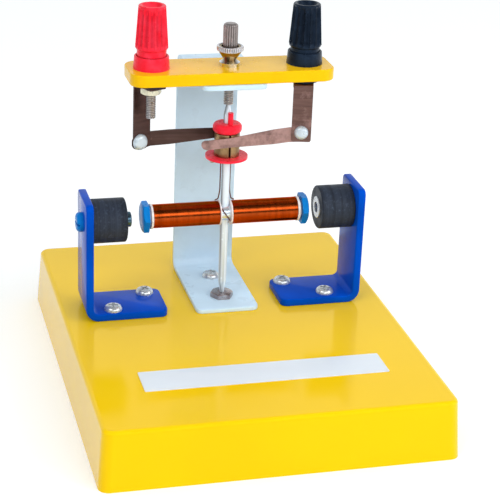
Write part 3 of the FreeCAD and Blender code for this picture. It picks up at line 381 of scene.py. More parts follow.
# ---------------------------------------------------------------- materials
class Finish:
    """A material with one Principled shader, whose patterns read Object coordinates."""

    def __init__(self, name, base, metallic=0.0, roughness=0.4, **more):
        self.material = bpy.data.materials.new(name)
        self.material.use_nodes = True
        self.tree = self.material.node_tree
        self.tree.nodes.clear()
        self.shader = self.tree.nodes.new("ShaderNodeBsdfPrincipled")
        leave = self.tree.nodes.new("ShaderNodeOutputMaterial")
        self.tree.links.new(self.shader.outputs[0], leave.inputs["Surface"])
        self.base = base
        self.set("Base Color", (*base, 1.0))
        self.set("Metallic", metallic)
        self.set("Roughness", roughness)
        for key, value in more.items():
            self.set(key.replace("_", " "), value)
        self.place = Wire(self.tree.nodes.new("ShaderNodeTexCoord").outputs["Object"])

    def set(self, label, value):
        feed(self.tree, self.shader.inputs[label], value)

    def painted(self):
        """The colour that the shader has by now."""
        return Wire(self.shader.inputs["Base Color"].links[0].from_socket)

    def noise(self, per_metre, detail=3.0, stretch=(1, 1, 1), shift=(0, 0, 0), rough=0.55):
        mapping = wire(self.tree, "ShaderNodeMapping", {"Vector": self.place, "Scale": stretch,
                                                        "Location": shift})
        return wire(self.tree, "ShaderNodeTexNoise", {"Vector": mapping, "Scale": per_metre,
                                                      "Detail": detail, "Roughness": rough})

    def scaled(self, value, low_in, high_in, low=0, high=1):
        return wire(self.tree, "ShaderNodeMapRange", {"Value": value, "From Min": low_in, "From Max": high_in,
                                                      "To Min": low, "To Max": high})

    def mix(self, share, first, second):
        """Paints the surface with the first colour, or the second one where the share is high."""
        self.set("Base Color", blended(self.tree, share, first, second))

    def tones(self, per_metre, detail, dark, light, low=0.35, high=0.65):
        """Two tones of the base colour in patches; they change over between two levels of the noise."""
        share = self.scaled(self.noise(per_metre, detail), low, high)
        self.mix(share, shade(self.base, dark), shade(self.base, light))

    def haze(self, per_metre, low, high, detail=3):
        """A gloss that changes a little from place to place."""
        self.set("Roughness", self.scaled(self.noise(per_metre, detail), 0.3, 0.7, low, high))

    def paint_groove_shade(self, amount, narrow=1.5):
        """Painted shade: the colour is darker where a ridged piece lies low, in its grooves."""
        low = Wire(new_node(self.tree, "ShaderNodeAttribute", {}, attribute_name="groove").outputs["Fac"])
        self.set("Base Color", blended(self.tree, low.math("POWER", narrow), self.painted(),
                                       (1 - amount,) * 3, blend_type="MULTIPLY"))

    def bump(self, height, strength, depth):
        self.set("Normal", wire(self.tree, "ShaderNodeBump", {"Height": height, "Strength": strength,
                                                              "Distance": depth * MM}))


def shade(value, factor):
    """A colour made darker or lighter, by one factor or by one for each of its parts."""
    factors = factor if isinstance(factor, tuple) else (factor,) * 3
    return tuple(min(1.0, part * by) for part, by in zip(value, factors))


def tint_of(base):
    """The colour that a deep gloss takes from what lies under it."""
    top = max(base)
    level = 0.35 + 0.65 * min(1.0, top * 2)
    return tuple(level * (0.1 + 0.9 * part / top) for part in base) + (1.0,)


def plastic_moulding(name, base):
    """Glossy moulded plastic: a faint flow in its colour and a skin that is not quite even."""
    made = Finish(name, base, roughness=0.12, IOR=1.5, Specular_Tint=tint_of(base))
    made.tones(14, 2, 0.96, 1.03)
    made.haze(60, 0.08, 0.17)
    made.bump(made.noise(35, 2), 0.05, 0.5)


def board_paint(name, base):
    made = Finish(name, base, roughness=0.2, IOR=1.45, Specular_Tint=tint_of(base))
    made.tones(45, 4, 0.94, 1.04)
    made.haze(160, 0.14, 0.3)
    made.bump(made.noise(220), 0.08, 0.3)


def sheet_paint(name, base, rough, mottle, gloss):
    """Paint on bent sheet, with a slight orange-peel skin."""
    made = Finish(name, base, roughness=rough, Specular_IOR_Level=gloss, Specular_Tint=tint_of(base))
    made.tones(70, 5, 1 - mottle, 1 + mottle, 0.38, 0.62)
    made.haze(120, rough * 0.7, rough * 1.4)
    made.bump(made.noise(700, 2), 0.12, 0.15)
    return made


def core_bolt_paint(name, base, bare_reach, **paint):
    """Blue on the core's head, bare steel on the rod between the windings."""
    made = sheet_paint(name, base, **paint)
    across = parts_of(made.tree, made.place)[0]
    bare = across.math("ABSOLUTE").math("LESS_THAN", bare_reach * MM)
    made.mix(bare, made.painted(), colour_named("steel"))
    made.set("Metallic", bare * 0.7)


def label_film(name, base):
    made = Finish(name, base, roughness=0.28, IOR=1.4)
    made.tones(30, 3, 0.98, 1.02)
    made.bump(made.noise(90), 0.06, 0.2)


def ferrite(name, base):
    """Sintered magnet: nearly black, dull, with pores, grinding rings and paler grains."""
    made = Finish(name, base, roughness=0.42, Specular_IOR_Level=0.18)
    grain = made.noise(900, 4, rough=0.7)
    rings = made.noise(1, 2, stretch=(900, 20, 20))
    dark = blended(made.tree, made.scaled(rings, 0.3, 0.7), shade(base, 0.62), shade(base, 1.5))
    made.mix(made.scaled(grain, 0.55, 0.75), dark, shade(base, 2.6))
    made.haze(150, 0.36, 0.62)
    made.bump(grain, 0.35, 0.25)


def enamelled_wire(name, base):
    """Copper under clear orange enamel, a little different from turn to turn."""
    made = Finish(name, base, metallic=1.0, roughness=0.26, Specular_Tint=(0.9, 0.4, 0.2, 1.0))
    turns = made.scaled(made.noise(1, 4, stretch=(620, 12, 12)), 0.32, 0.68)
    patches = made.scaled(made.noise(60, 2), 0.35, 0.7)
    tone = blended(made.tree, turns, shade(base, 0.62), shade(base, 1.15))
    made.mix(patches, tone, shade(base, 0.85))
    made.haze(260, 0.17, 0.27)


def lead_enamel(name, base):
    """The wires' free ends, whose enamel is dark."""
    made = Finish(name, base, metallic=0.4, roughness=0.3)
    made.mix(made.noise(400), (0.06, 0.014, 0.012), (0.16, 0.04, 0.025))


def cheek_card(name, base):
    made = Finish(name, base, roughness=0.55)
    made.tones(500, 3, 0.86, 1.08)
    made.bump(made.noise(1200, 2), 0.2, 0.1)


def post_plastic(name, base, highlight_lift, groove_shade):
    """Moulded plastic of the binding posts, with painted highlights: paler patches scattered over it."""
    made = Finish(name, base, roughness=0.3, IOR=1.42, Specular_Tint=tint_of(base))
    # Painted highlight: patches paler than the base colour, pinker on the red plastic and grey on the black.
    made.tones(240, 4, 1.0, highlight_lift, 0.4, 0.7)
    # Painted shade in the grooves of the flutes.
    made.paint_groove_shade(groove_shade, 4.0)
    made.haze(420, 0.2, 0.42)
    made.bump(made.noise(900, 2), 0.08, 0.12)
    return made


def hub_plastic(name, base, **plastic):
    """Red like the posts, with painted shade: near black in the slits between the segments."""
    made = post_plastic(name, base, **plastic)
    height = parts_of(made.tree, made.place)[2]
    # Painted shade: the hub is near black through the segments' height, where it shows only in the slits.
    low, high = (corner.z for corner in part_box("left_segment"))
    slit_shade = height.math("GREATER_THAN", low) * height.math("LESS_THAN", high)
    made.mix(slit_shade, made.painted(), (0.03, 0.008, 0.006))


def strip_metal(name, base, lift, rubbed):
    """Phosphor bronze gone brown, rubbed pinkish in patches; rubbed is the share that shows it."""
    # Painted light: this factor makes a lighter, lit copy of the same bronze, used on the strips at the
    # right.
    base = shade(base, lift)
    made = Finish(name, base, metallic=0.9, roughness=0.4)
    patches = made.noise(150, 5, rough=0.65)
    streaks = made.noise(1, 4, stretch=(60, 60, 900))
    brown = blended(made.tree, made.scaled(streaks, 0.3, 0.7), shade(base, 0.72), shade(base, 1.25))
    share = made.scaled(patches, 0.62 - 0.4 * rubbed, 0.86 - 0.4 * rubbed)
    made.mix(share, brown, colour_named("strip_bright"))
    made.set("Roughness", made.scaled(patches, 0.35, 0.7, 0.34, 0.55))
    made.bump(made.noise(600, 4), 0.15, 0.12)


def plated(name, base, rough, stain, metal=1.0, groove_shade=0.0):
    """Plated metal with a fine haze and faint stains."""
    made = Finish(name, base, metallic=metal, roughness=rough)
    made.tones(300, 4, 1.0, 1 - stain, 0.42, 0.72)
    # Painted shade in the grooves of ridged pieces.
    if groove_shade:
        made.paint_groove_shade(groove_shade)
    made.haze(500, rough * 0.75, rough * 1.3, detail=4)
    made.bump(made.noise(1500, 2), 0.04, 0.05)
    return made


def brown_nickel(name, base, **plate):
    """Plating gone brownish, paler where the spanner has rubbed it."""
    made = plated(name, base, **plate)
    rubbed = made.scaled(made.noise(260, 2), 0.45, 0.7)
    made.mix(rubbed, (0.30, 0.235, 0.23), (0.55, 0.49, 0.49))


def gilt_nut(name, base, foot, fade, **plate):
    """The lock nut's body: a painted reflection of the yellow crossbar, gold and dark, on the cone over a
    bright foot.
    """
    made = plated(name, base, **plate)
    height = parts_of(made.tree, made.place)[2]
    low = (BAR_TOP + foot) * MM
    # Painted reflection: the gold on the cone stands for the yellow crossbar mirrored in it.
    painted_bar_reflection = blended(made.tree, made.noise(260), (0.15, 0.09, 0.035), (0.42, 0.29, 0.13))
    made.mix(made.scaled(height, low, low + fade * MM), base, painted_bar_reflection)


def bright_steel(name, base):
    """Drawn rod: pale, with painted reflections as darker streaks along its length."""
    made = Finish(name, base, metallic=0.12, roughness=0.2)
    # Painted reflection: the darker streaks stand for dark surroundings mirrored along the shaft.
    streaks = made.noise(1, 2, stretch=(560, 560, 7), shift=(0.31, 0.12, 0.0))
    made.mix(made.scaled(streaks, 0.50, 0.66), base, shade(base, 0.30))
    made.haze(500, 0.15, 0.28, detail=4)


RED_PLASTIC = {"highlight_lift": (1.06, 2.6, 2.2), "groove_shade": 0.3}
CAP_PAINT = {"rough": 0.26, "mottle": 0.14, "gloss": 0.2}

# Each finish: how it's made, its colour or the property that holds it, and its other numbers, with lengths in
# millimetres
FINISHES = {
    "yellow_plastic": (plastic_moulding, "moulding", {}),
    "yellow_board": (board_paint, "board", {}),
    "grey_paint": (sheet_paint, "column", {"rough": 0.32, "mottle": 0.035, "gloss": 0.3}),
    "blue_paint": (sheet_paint, "bracket", {"rough": 0.13, "mottle": 0.10, "gloss": 0.06}),
    "blue_cap_paint": (sheet_paint, "cap", CAP_PAINT),
    "core_bolt_paint": (core_bolt_paint, "cap", {"bare_reach": 20, **CAP_PAINT}),
    "label_film": (label_film, "label", {}),
    "magnet_black": (ferrite, "magnet", {}),
    "enamel_copper": (enamelled_wire, "wire", {}),
    "lead_enamel": (lead_enamel, (0.10, 0.026, 0.020), {}),
    "insulation_white": (cheek_card, "cheek", {}),
    "red_plastic": (post_plastic, "red", RED_PLASTIC),
    "hub_plastic": (hub_plastic, "red", RED_PLASTIC),
    "black_plastic": (post_plastic, "black", {"highlight_lift": 2.0, "groove_shade": 0.5}),
    "bronze_strip": (strip_metal, "strip", {"lift": 1.0, "rubbed": 0.05}),
    # Painted light: lighter, lit copies of the same bronze for the right strips, also rubbed in patches.
    "bronze_rubbed": (strip_metal, "strip", {"lift": 2.0, "rubbed": 0.75}),
    "bronze_worn": (strip_metal, "strip", {"lift": 1.9, "rubbed": 0.2}),
    "nickel": (plated, "nickel", {"rough": 0.26, "stain": 0.25, "metal": 0.65}),
    "gunmetal": (plated, "gunmetal", {"rough": 0.3, "stain": 0.25, "metal": 0.8, "groove_shade": 0.75}),
    "thread_plate": (plated, (0.58, 0.55, 0.56), {"rough": 0.3, "stain": 0.3, "metal": 0.7, "groove_shade": 0.75}),
    "rim_plate": (plated, (0.70, 0.68, 0.72), {"rough": 0.26, "stain": 0.25, "metal": 0.6, "groove_shade": 0.7}),
    "brown_nickel": (brown_nickel, (0.34, 0.27, 0.26), {"rough": 0.24, "stain": 0.3, "metal": 0.85}),
    "zinc": (plated, (0.80, 0.76, 0.58), {"rough": 0.3, "stain": 0.25, "metal": 0.5}),
    "bolt_end": (plated, (0.09, 0.17, 0.24), {"rough": 0.25, "stain": 0.3, "metal": 0.8}),
    "gilt_nut": (gilt_nut, "nickel", {"foot": 1.6, "fade": 0.9, "rough": 0.22, "stain": 0.2}),
    "steel": (bright_steel, "steel", {}),
    "aluminium": (plated, "rivet", {"rough": 0.3, "stain": 0.2, "metal": 0.35}),
    "brass": (plated, "brass", {"rough": 0.34, "stain": 0.5}),
    "solder": (plated, (0.52, 0.52, 0.53), {"rough": 0.36, "stain": 0.35}),
}


def colour_named(name):
    return tuple(getattr(bpy.context.scene.motor_colours, name))


def finish_of(name):
    """Each finish is made once, when a piece first asks for it."""
    label = "finish_" + name
    if label not in bpy.data.materials:
        maker, base, numbers = FINISHES[name]
        maker(label, colour_named(base) if isinstance(base, str) else base, **numbers)
    return bpy.data.materials[label]


# ---------------------------------------------------------------- meshes
ON_AXIS = 1e-6
NO_LENGTH = 1e-9


def body_of(node):
    return next(name for name, members in frame["record"]["behaviour"]["bodies"].items() if node in members)


def slot_of(node):
    return next(part["material_slot"] for part in frame["record"]["subparts"] if part["node"] == node)


def paint_nodes(finish, *nodes):
    """CAD pieces whose shape is right keep it, and get their finish."""
    for node in nodes:
        thing = frame["nodes"][node]
        thing.data.materials.clear()
        thing.data.materials.append(finish_of(finish))


def piece(name, mesh, finish, node):
    """A finished piece that stands for a CAD node and moves with its body."""
    mesh.name = name
    mesh.materials.clear()
    mesh.materials.append(finish_of(finish))
    thing = bpy.data.objects.new(name, mesh)
    bpy.context.scene.collection.objects.link(thing)
    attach(thing, body_of(node))
    slot_of(node)
    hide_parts(node)


def smooth_mesh(mesh, angle=38):
    mesh.shade_smooth()
    mesh.set_sharp_from_angle(angle=math.radians(angle))
    return mesh


def mesh_of(shape):
    """A bmesh in millimetres becomes a mesh in metres, its faces outwards."""
    bmesh.ops.recalc_face_normals(shape, faces=shape.faces)
    mesh = bpy.data.meshes.new("shape")
    shape.to_mesh(mesh)
    shape.free()
    mesh.transform(Matrix.Scale(MM, 4))
    return mesh


def eased(points, steps=5):
    """A ring of (radius, height) points; a third number rounds that corner."""
    out = []
    total, most = len(points), 0.48
    for i, point in enumerate(points):
        if len(point) < 3:
            out.append(tuple(point))
            continue
        before, corner, after = (Vector(points[k % total][:2]) for k in (i - 1, i, i + 1))
        back, ahead = (before - corner), (after - corner)
        half = back.angle(ahead) / 2
        cut = min(point[2] / math.tan(half), most * back.length, most * ahead.length)
        start, end = corner + back.normalized() * cut, corner + ahead.normalized() * cut
        centre = corner + (back.normalized() + ahead.normalized()).normalized() * (cut / math.cos(half))
        first, last = start - centre, end - centre
        sweep = first.angle_signed(last)
        for k in range(steps + 1):
            turn = sweep * k / steps
            out.append((centre.x + first.x * math.cos(turn) + first.y * math.sin(turn),
                        centre.y - first.x * math.sin(turn) + first.y * math.cos(turn)))
    return out


def divided(points, step):
    """The same ring with its long runs cut into short ones."""
    out = []
    for a, b in zip(points, points[1:] + points[:1]):
        on_axis = a[0] < ON_AXIS and b[0] < ON_AXIS
        parts = 1 if on_axis else max(1, math.ceil(math.dist(a, b) / step))
        out += [tuple(p + (q - p) * k / parts for p, q in zip(a, b)) for k in range(parts)]
    return out


def turned(points, around=48):
    """A turned shape about Z from a closed ring of (radius, height) points in millimetres."""
    shape = bmesh.new()
    rings = []
    for radius, height in points:
        sides = 1 if radius < ON_AXIS else around
        turns = [2 * math.pi * k / around for k in range(sides)]
        reach = 0 if sides == 1 else radius
        rings.append([shape.verts.new((reach * math.cos(turn), reach * math.sin(turn), height))
                      for turn in turns])
    for low, high in zip(rings, rings[1:] + rings[:1]):
        if len(low) == 1 and len(high) == 1:
            continue
        for k in range(around):
            n = (k + 1) % around
            if len(low) == 1:
                shape.faces.new((low[0], high[n], high[k]))
            elif len(high) == 1:
                shape.faces.new((low[k], low[n], high[0]))
            else:
                shape.faces.new((low[k], low[n], high[n], high[k]))
    return mesh_of(shape)


def put(mesh, at, turn=None):
    """Turns a mesh made about the origin and moves it to its place, in millimetres."""
    matrix = Matrix.Translation(Vector(at) * MM)
    if turn:
        matrix = matrix @ Matrix.Rotation(math.radians(turn[1]), 4, turn[0])
    mesh.transform(matrix)
    return mesh


def one_mesh(*meshes):
    shape = bmesh.new()
    for mesh in meshes:
        shape.from_mesh(mesh)
    whole = bpy.data.meshes.new("whole")
    shape.to_mesh(whole)
    shape.free()
    for mesh in meshes:
        bpy.data.meshes.remove(mesh)
    return whole


def blank(run, width, radii):
    """Outline of a flat strip along u from 0 to run; the radii are at (0,-) (run,-) (run,+) (0,+)."""
    half, steps = width / 2, 6
    spots = [((0, -half), (1, 1), 180), ((run, -half), (-1, 1), 270), ((run, half), (-1, -1), 0),
             ((0, half), (1, -1), 90)]
    ring = []
    for ((u, v), (inward_u, inward_v), start), radius in zip(spots, radii):
        for k in range(steps + 1):
            turn = math.radians(start + 90 * k / steps)
            ring.append((u + inward_u * radius + radius * math.cos(turn),
                         v + inward_v * radius + radius * math.sin(turn)))
    return ring


def bent_sheet(width, thickness, runs, radii, edge):
    """A strip cut flat and then bent: runs are ("straight", length) or ("bend", middle radius, degrees).

    It starts at the origin, runs along +X, and bends towards +Z; its width lies along Y.
    """
    total = sum(run_length(run) for run in runs)
    shape = bmesh.new()
    face = shape.faces.new([shape.verts.new((u, v, -thickness / 2)) for u, v in blank(total, width, radii)])
    risen = bmesh.ops.extrude_face_region(shape, geom=[face])
    bmesh.ops.translate(shape, verts=[v for v in risen["geom"] if isinstance(v, bmesh.types.BMVert)],
                        vec=(0, 0, thickness))
    bmesh.ops.recalc_face_normals(shape, faces=shape.faces)
    rims = [e for e in shape.edges if abs(e.verts[0].co.z - e.verts[1].co.z) < 1e-6]
    bmesh.ops.bevel(shape, geom=rims, offset=edge, segments=3, profile=0.5, affect="EDGES")
    at, cuts_in_bend = 0.0, 10
    for run in runs:
        if run[0] == "bend":
            for k in range(cuts_in_bend + 1):
                spot = at + run_length(run) * k / cuts_in_bend
                bmesh.ops.bisect_plane(shape, geom=shape.verts[:] + shape.edges[:] + shape.faces[:],
                                       plane_co=(spot, 0, 0), plane_no=(1, 0, 0), dist=1e-5)
        at += run_length(run)
    for vert in shape.verts:
        vert.co = bent_point(runs, *vert.co)
    return mesh_of(shape)


def run_length(run):
    return run[1] if run[0] == "straight" else run[1] * math.radians(abs(run[2]))


def bent_point(runs, u, v, w):
    """Where a point of the flat strip comes to lie, u along it, v across it and w through its thickness."""
    spot, heading = Vector((0, 0)), 0.0
    for k, run in enumerate(runs):
        if run[0] == "straight":
            part = u if k == len(runs) - 1 else min(u, run[1])
            spot = spot + Vector((math.cos(heading), math.sin(heading))) * part
        else:
            part = min(max(u, 0.0), run_length(run))
            way = 1 if run[2] > 0 else -1
            centre = spot + Vector((-math.sin(heading), math.cos(heading))) * run[1] * way
            heading += way * part / run[1]
            spot = centre + Vector((math.sin(heading), -math.cos(heading))) * run[1] * way
        u -= part
        if u <= NO_LENGTH:
            break
    spot = spot + Vector((-math.sin(heading), math.cos(heading))) * w
    return spot.x, v, spot.y


# Lengths in millimetres that several pieces share, and the angle past which an edge stays sharp, in degrees
THREAD_RADIUS = 1.95
THREAD_CORE = 1.5
BEARING_RADIUS = 2.4
NUT_FLATS = 7.0
BEARING_FLATS = 8.2
CORE_FLATS = 11.1
HARD_EDGE = 30


def hexagons(spots, flats, height, bore=0.0, turn=0.0, chamfer_below=0.0):
    """Chamfered hexagons standing on these points; all lengths in millimetres, the turn in degrees."""
    return through_tree(points_mesh(spots), "hexagons", {
        "Across flats": flats * MM, "Height": height * MM, "Bore": bore * MM, "Turn": math.radians(turn),
        "Chamfer below": chamfer_below})


def points_mesh(spots):
    """Bare points, for a geometry tree to set its solids on."""
    mesh = bpy.data.meshes.new("spots")
    mesh.from_pydata([tuple(part * MM for part in spot) for spot in spots], [], [])
    return mesh


def ridged(points, around, **values):
    """A turned shape with ridges cut by the geometry tree; its heights and radii are in millimetres."""
    given = {"Count around": 0.0, "Turns per metre": 0.0, "Depth": 0.0, "Scooped": 0.0, "Pointed": 0.0,
             "Low end": -1.0, "High end": 1.0, "Fade": 0.2 * MM, "Least radius": 0.0}
    for key, value in values.items():
        in_millimetres = key in ("low_end", "high_end", "fade", "least_radius")
        given[key.replace("_", " ").capitalize()] = float(value * MM if in_millimetres else value)
    return through_tree(turned(points, around), "ridges", given)


def threaded(ring, low, high):
    """A turned shape with a thread on its outside, between two heights."""
    given = sizes()
    steps_in_pitch = 8
    return ridged(divided(ring, given.thread_pitch / MM / steps_in_pitch), 40, count_around=-1,
                  turns_per_metre=1 / given.thread_pitch, depth=given.thread_depth, pointed=1.0,
                  least_radius=THREAD_CORE, low_end=low, high_end=high, fade=0.3)


def loose_centres(node):
    """Where each separate solid of a node stands, seen from above, in millimetres."""
    shape = bmesh.new()
    shape.from_mesh(frame["nodes"][node].data)
    bmesh.ops.remove_doubles(shape, verts=shape.verts, dist=1e-6)
    left, centres = set(shape.verts), []
    while left:
        island, edge = set(), [next(iter(left))]
        while edge:
            vert = edge.pop()
            if vert in island:
                continue
            island.add(vert)
            edge += [e.other_vert(vert) for e in vert.link_edges]
        left -= island
        xs, ys = [v.co.x for v in island], [v.co.y for v in island]
        centres.append(((min(xs) + max(xs)) / 2 / MM, (min(ys) + max(ys)) / 2 / MM))
    shape.free()
    return sorted(centres)


def nut_set(name, node, flats, bore, finish="nickel"):
    """Chamfered nuts where the node's own nuts are."""
    low, high = corners(node)
    spots = [(x, y, low.z) for x, y in loose_centres(node)]
    nuts = hexagons(spots, flats, high.z - low.z, bore, chamfer_below=1.0)
    piece(name, smooth_mesh(nuts, HARD_EDGE), finish, node)


# ---------------------------------------------------------------- pieces, one operator for each group
class MOTOR_OT_base(bpy.types.Operator):
    """Finishes the moulded base and lays the bare label plate on it"""
    bl_idname = "motor.base"
    bl_label = "Base and label plate"

    def execute(self, context):
        paint_nodes("yellow_plastic", "base_shell")
        low, high = corners("label_plate")
        corner_radius, edge = 0.6, 0.1
        mesh = bent_sheet(high.y - low.y, high.z - low.z, [("straight", high.x - low.x)],
                          (corner_radius,) * 4, edge)
        put(mesh, (low.x, (low.y + high.y) / 2, (low.z + high.z) / 2))
        piece("label_plate_film", smooth_mesh(mesh), "label_film", "label_plate")
        return {"FINISHED"}


class MOTOR_OT_column(bpy.types.Operator):
    """Bends the column from one painted strip"""
    bl_idname = "motor.column"
    bl_label = "Column"

    def execute(self, context):
        low, high = corners("column")
        wall, bend, corner_radius, arm_past_shaft = 1.8, 3.0, 2.6, 12.2
        middle_bend = bend + wall / 2
        rise = high.z - low.z - 2 * (bend + wall)
        foot = high.y - low.y - bend - wall
        arm = high.y - (SHAFT.y - arm_past_shaft) - bend - wall
        mesh = bent_sheet(high.x - low.x, wall, [
            ("straight", foot), ("bend", middle_bend, 90), ("straight", rise), ("bend", middle_bend, 90),
            ("straight", arm)], (corner_radius,) * 4, sizes().sheet_edge / MM)
        put(mesh, (0, 0, 0), ("Z", 90))
        put(mesh, ((low.x + high.x) / 2, low.y, low.z + wall / 2))
        piece("column_strip", smooth_mesh(mesh), "grey_paint", "column")
        return {"FINISHED"}


class MOTOR_OT_crossbar(bpy.types.Operator):
    """Finishes the crossbar"""
    bl_idname = "motor.crossbar"
    bl_label = "Crossbar"

    def execute(self, context):
        paint_nodes("yellow_board", "crossbar")
        return {"FINISHED"}


class MOTOR_OT_brackets(bpy.types.Operator):
    """Bends the two magnet brackets"""
    bl_idname = "motor.brackets"
    bl_label = "Magnet brackets"

    def execute(self, context):
        wall, bend, foot_corner, top_corner = 3.0, 2.2, 3.0, 2.5
        softer = 1.4
        edge = sizes().sheet_edge / MM * softer
        for node in ("left_bracket", "right_bracket"):
            low, high = corners(node)
            foot = high.x - low.x - bend - wall
            rise = high.z - low.z - bend - wall
            mesh = bent_sheet(high.y - low.y, wall, [
                ("straight", foot), ("bend", bend + wall / 2, 90), ("straight", rise)],
                (foot_corner, top_corner, top_corner, foot_corner), edge)
            free_end = low.x
            if node == "left_bracket":
                put(mesh, (0, 0, 0), ("Z", 180))
                free_end = high.x
            put(mesh, (free_end, (low.y + high.y) / 2, low.z + wall / 2))
            piece(node + "_sheet", smooth_mesh(mesh), "blue_paint", node)
        return {"FINISHED"}


class MOTOR_OT_magnets(bpy.types.Operator):
    """Finishes the magnets, their bushes and the bolts that hold them"""
    bl_idname = "motor.magnets"
    bl_label = "Magnets"

    def execute(self, context):
        paint_nodes("magnet_black", "left_magnet", "right_magnet")
        paint_nodes("bolt_end", "left_magnet_bush")
        paint_nodes("nickel", "right_magnet_bush")
        paint_nodes("blue_cap_paint", "left_magnet_bolt", "right_magnet_bolt")
        return {"FINISHED"}


class MOTOR_OT_screws(bpy.types.Operator):
    """Sets the pan-head screws, and the nuts and washers under the base"""
    bl_idname = "motor.screws"
    bl_label = "Screws and nuts"

    def execute(self, context):
        given = sizes()
        head_radius, head_rise, seed = 3.6, 2.2, 4
        column = middle("column_screw")
        for name, node, places in (("bracket_screw_set", "bracket_screws", loose_centres("bracket_screws")),
                                   ("column_screw_head", "column_screw", [(column.x, column.y)])):
            low, high = corners(node)
            seat = high.z - head_rise
            made = through_tree(points_mesh([(x, y, seat) for x, y in places]), "pan_screws", {
                "Head radius": head_radius * MM, "Head rise": head_rise * MM,
                "Shank radius": THREAD_RADIUS * MM, "Shank length": (seat - low.z) * MM,
                "Recess width": given.recess_width, "Recess length": given.recess_length,
                "Recess depth": given.recess_depth, "Seed": seed})
            piece(name, smooth_mesh(made, HARD_EDGE), "nickel", node)
        nut_set("base_nut_set", "base_nuts", NUT_FLATS, 2 * THREAD_RADIUS)
        nut_set("bearing_bolt_nut", "bearing_nut", BEARING_FLATS, 2 * BEARING_RADIUS)
        paint_nodes("nickel", "base_washers")
        return {"FINISHED"}


class MOTOR_OT_bearing(bpy.types.Operator):
    """Makes the hexagon bearing bolt that the shaft's lower tip turns in"""
    bl_idname = "motor.bearing"
    bl_label = "Bearing bolt"

    def execute(self, context):
        low, high = corners("bearing_bolt")
        plate, mouth, rim, cup, cup_depth, play = 1.8, 1.7, 1.5, 1.1, 0.55, 0.05
        seat = BASE_TOP + plate
        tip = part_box("shaft")[0].z / MM - play
        head = hexagons([(SHAFT.x, SHAFT.y, seat)], BEARING_FLATS, high.z - seat, 2 * mouth)
        ring = eased([(0, low.z), (BEARING_RADIUS, low.z, 0.4), (BEARING_RADIUS, seat), (mouth, seat),
                      (mouth, high.z - play), (rim, high.z - play, 0.1), (cup, tip + cup_depth), (0, tip)])
        core = put(turned(ring, 40), (SHAFT.x, SHAFT.y, 0))
        mesh = smooth_mesh(one_mesh(head, core), HARD_EDGE)
        piece("bearing_bolt_hex", mesh, "brown_nickel", "bearing_bolt")
        return {"FINISHED"}


class MOTOR_OT_armature(bpy.types.Operator):
    """Finishes the shaft and the core with its hexagon caps"""
    bl_idname = "motor.armature"
    bl_label = "Shaft and core"

    def execute(self, context):
        paint_nodes("steel", "shaft")
        low, high = corners("core_bolt")
        nut_low, nut_high = corners("core_nut")
        thick, core_radius = nut_high.x - nut_low.x, 3.15
        head = hexagons([(0, 0, 0)], CORE_FLATS, thick, turn=30)
        rod = turned(eased([(0, -high.x), (core_radius, -high.x, 0.4), (core_radius, -low.x - thick),
                            (0, -low.x - thick)]))
        put(head, (low.x + thick, SHAFT.y, ARMATURE_Z), ("Y", -90))
        put(rod, (0, SHAFT.y, ARMATURE_Z), ("Y", -90))
        bolt = smooth_mesh(one_mesh(head, rod), HARD_EDGE)
        piece("core_bolt_hex", bolt, "core_bolt_paint", "core_bolt")
        nut = hexagons([(0, 0, 0)], CORE_FLATS, thick, 2 * core_radius, turn=30)
        put(nut, (nut_low.x, SHAFT.y, ARMATURE_Z), ("Y", 90))
        piece("core_nut_hex", smooth_mesh(nut, HARD_EDGE), "blue_cap_paint", "core_nut")
        paint_nodes("insulation_white", "coil_formers", "coil_cheeks")
        return {"FINISHED"}


class MOTOR_OT_windings(bpy.types.Operator):
    """Winds both coils turn by turn and finishes the wires that lead to the commutator"""
    bl_idname = "motor.windings"
    bl_label = "Windings"

    def execute(self, context):
        given = sizes()
        inner, edge, wire_depth, steps_in_turn = 3.65, 0.3, 0.4, 6
        for side in ("left", "right"):
            node = side + "_coil"
            size = span(node)
            half, outer = size.x / 2, size.y / 2
            ring = eased([(inner, -half), (outer, -half, edge), (outer, half, edge), (inner, half)])
            made = ridged(divided(ring, given.winding_pitch / MM / steps_in_turn), 48, count_around=1,
                          turns_per_metre=1 / given.winding_pitch, depth=given.winding_groove,
                          least_radius=outer - wire_depth, low_end=-half, high_end=half, fade=0.2)
            put(made, middle(node), ("Y", 90))
            piece(side + "_winding", smooth_mesh(made, 60), "enamel_copper", node)
        paint_nodes("lead_enamel", "crossover_wire", "lead_wires")
        paint_nodes("solder", "solder_joints")
        return {"FINISHED"}


class MOTOR_OT_commutator(bpy.types.Operator):
    """Finishes the commutator: red hub and two brass segments"""
    bl_idname = "motor.commutator"
    bl_label = "Commutator"

    def execute(self, context):
        paint_nodes("hub_plastic", "commutator_hub")
        paint_nodes("brass", "left_segment", "right_segment")
        return {"FINISHED"}


class MOTOR_OT_brushes(bpy.types.Operator):
    """Finishes the two brush brackets, the leaf brushes and their rivets"""
    bl_idname = "motor.brushes"
    bl_label = "Brush gear"

    def execute(self, context):
        paint_nodes("bronze_strip", "left_brush", "left_brush_bracket")
        paint_nodes("bronze_worn", "right_brush_bracket")
        paint_nodes("bronze_rubbed", "right_brush")
        paint_nodes("aluminium", "left_rivet", "right_rivet")
        return {"FINISHED"}


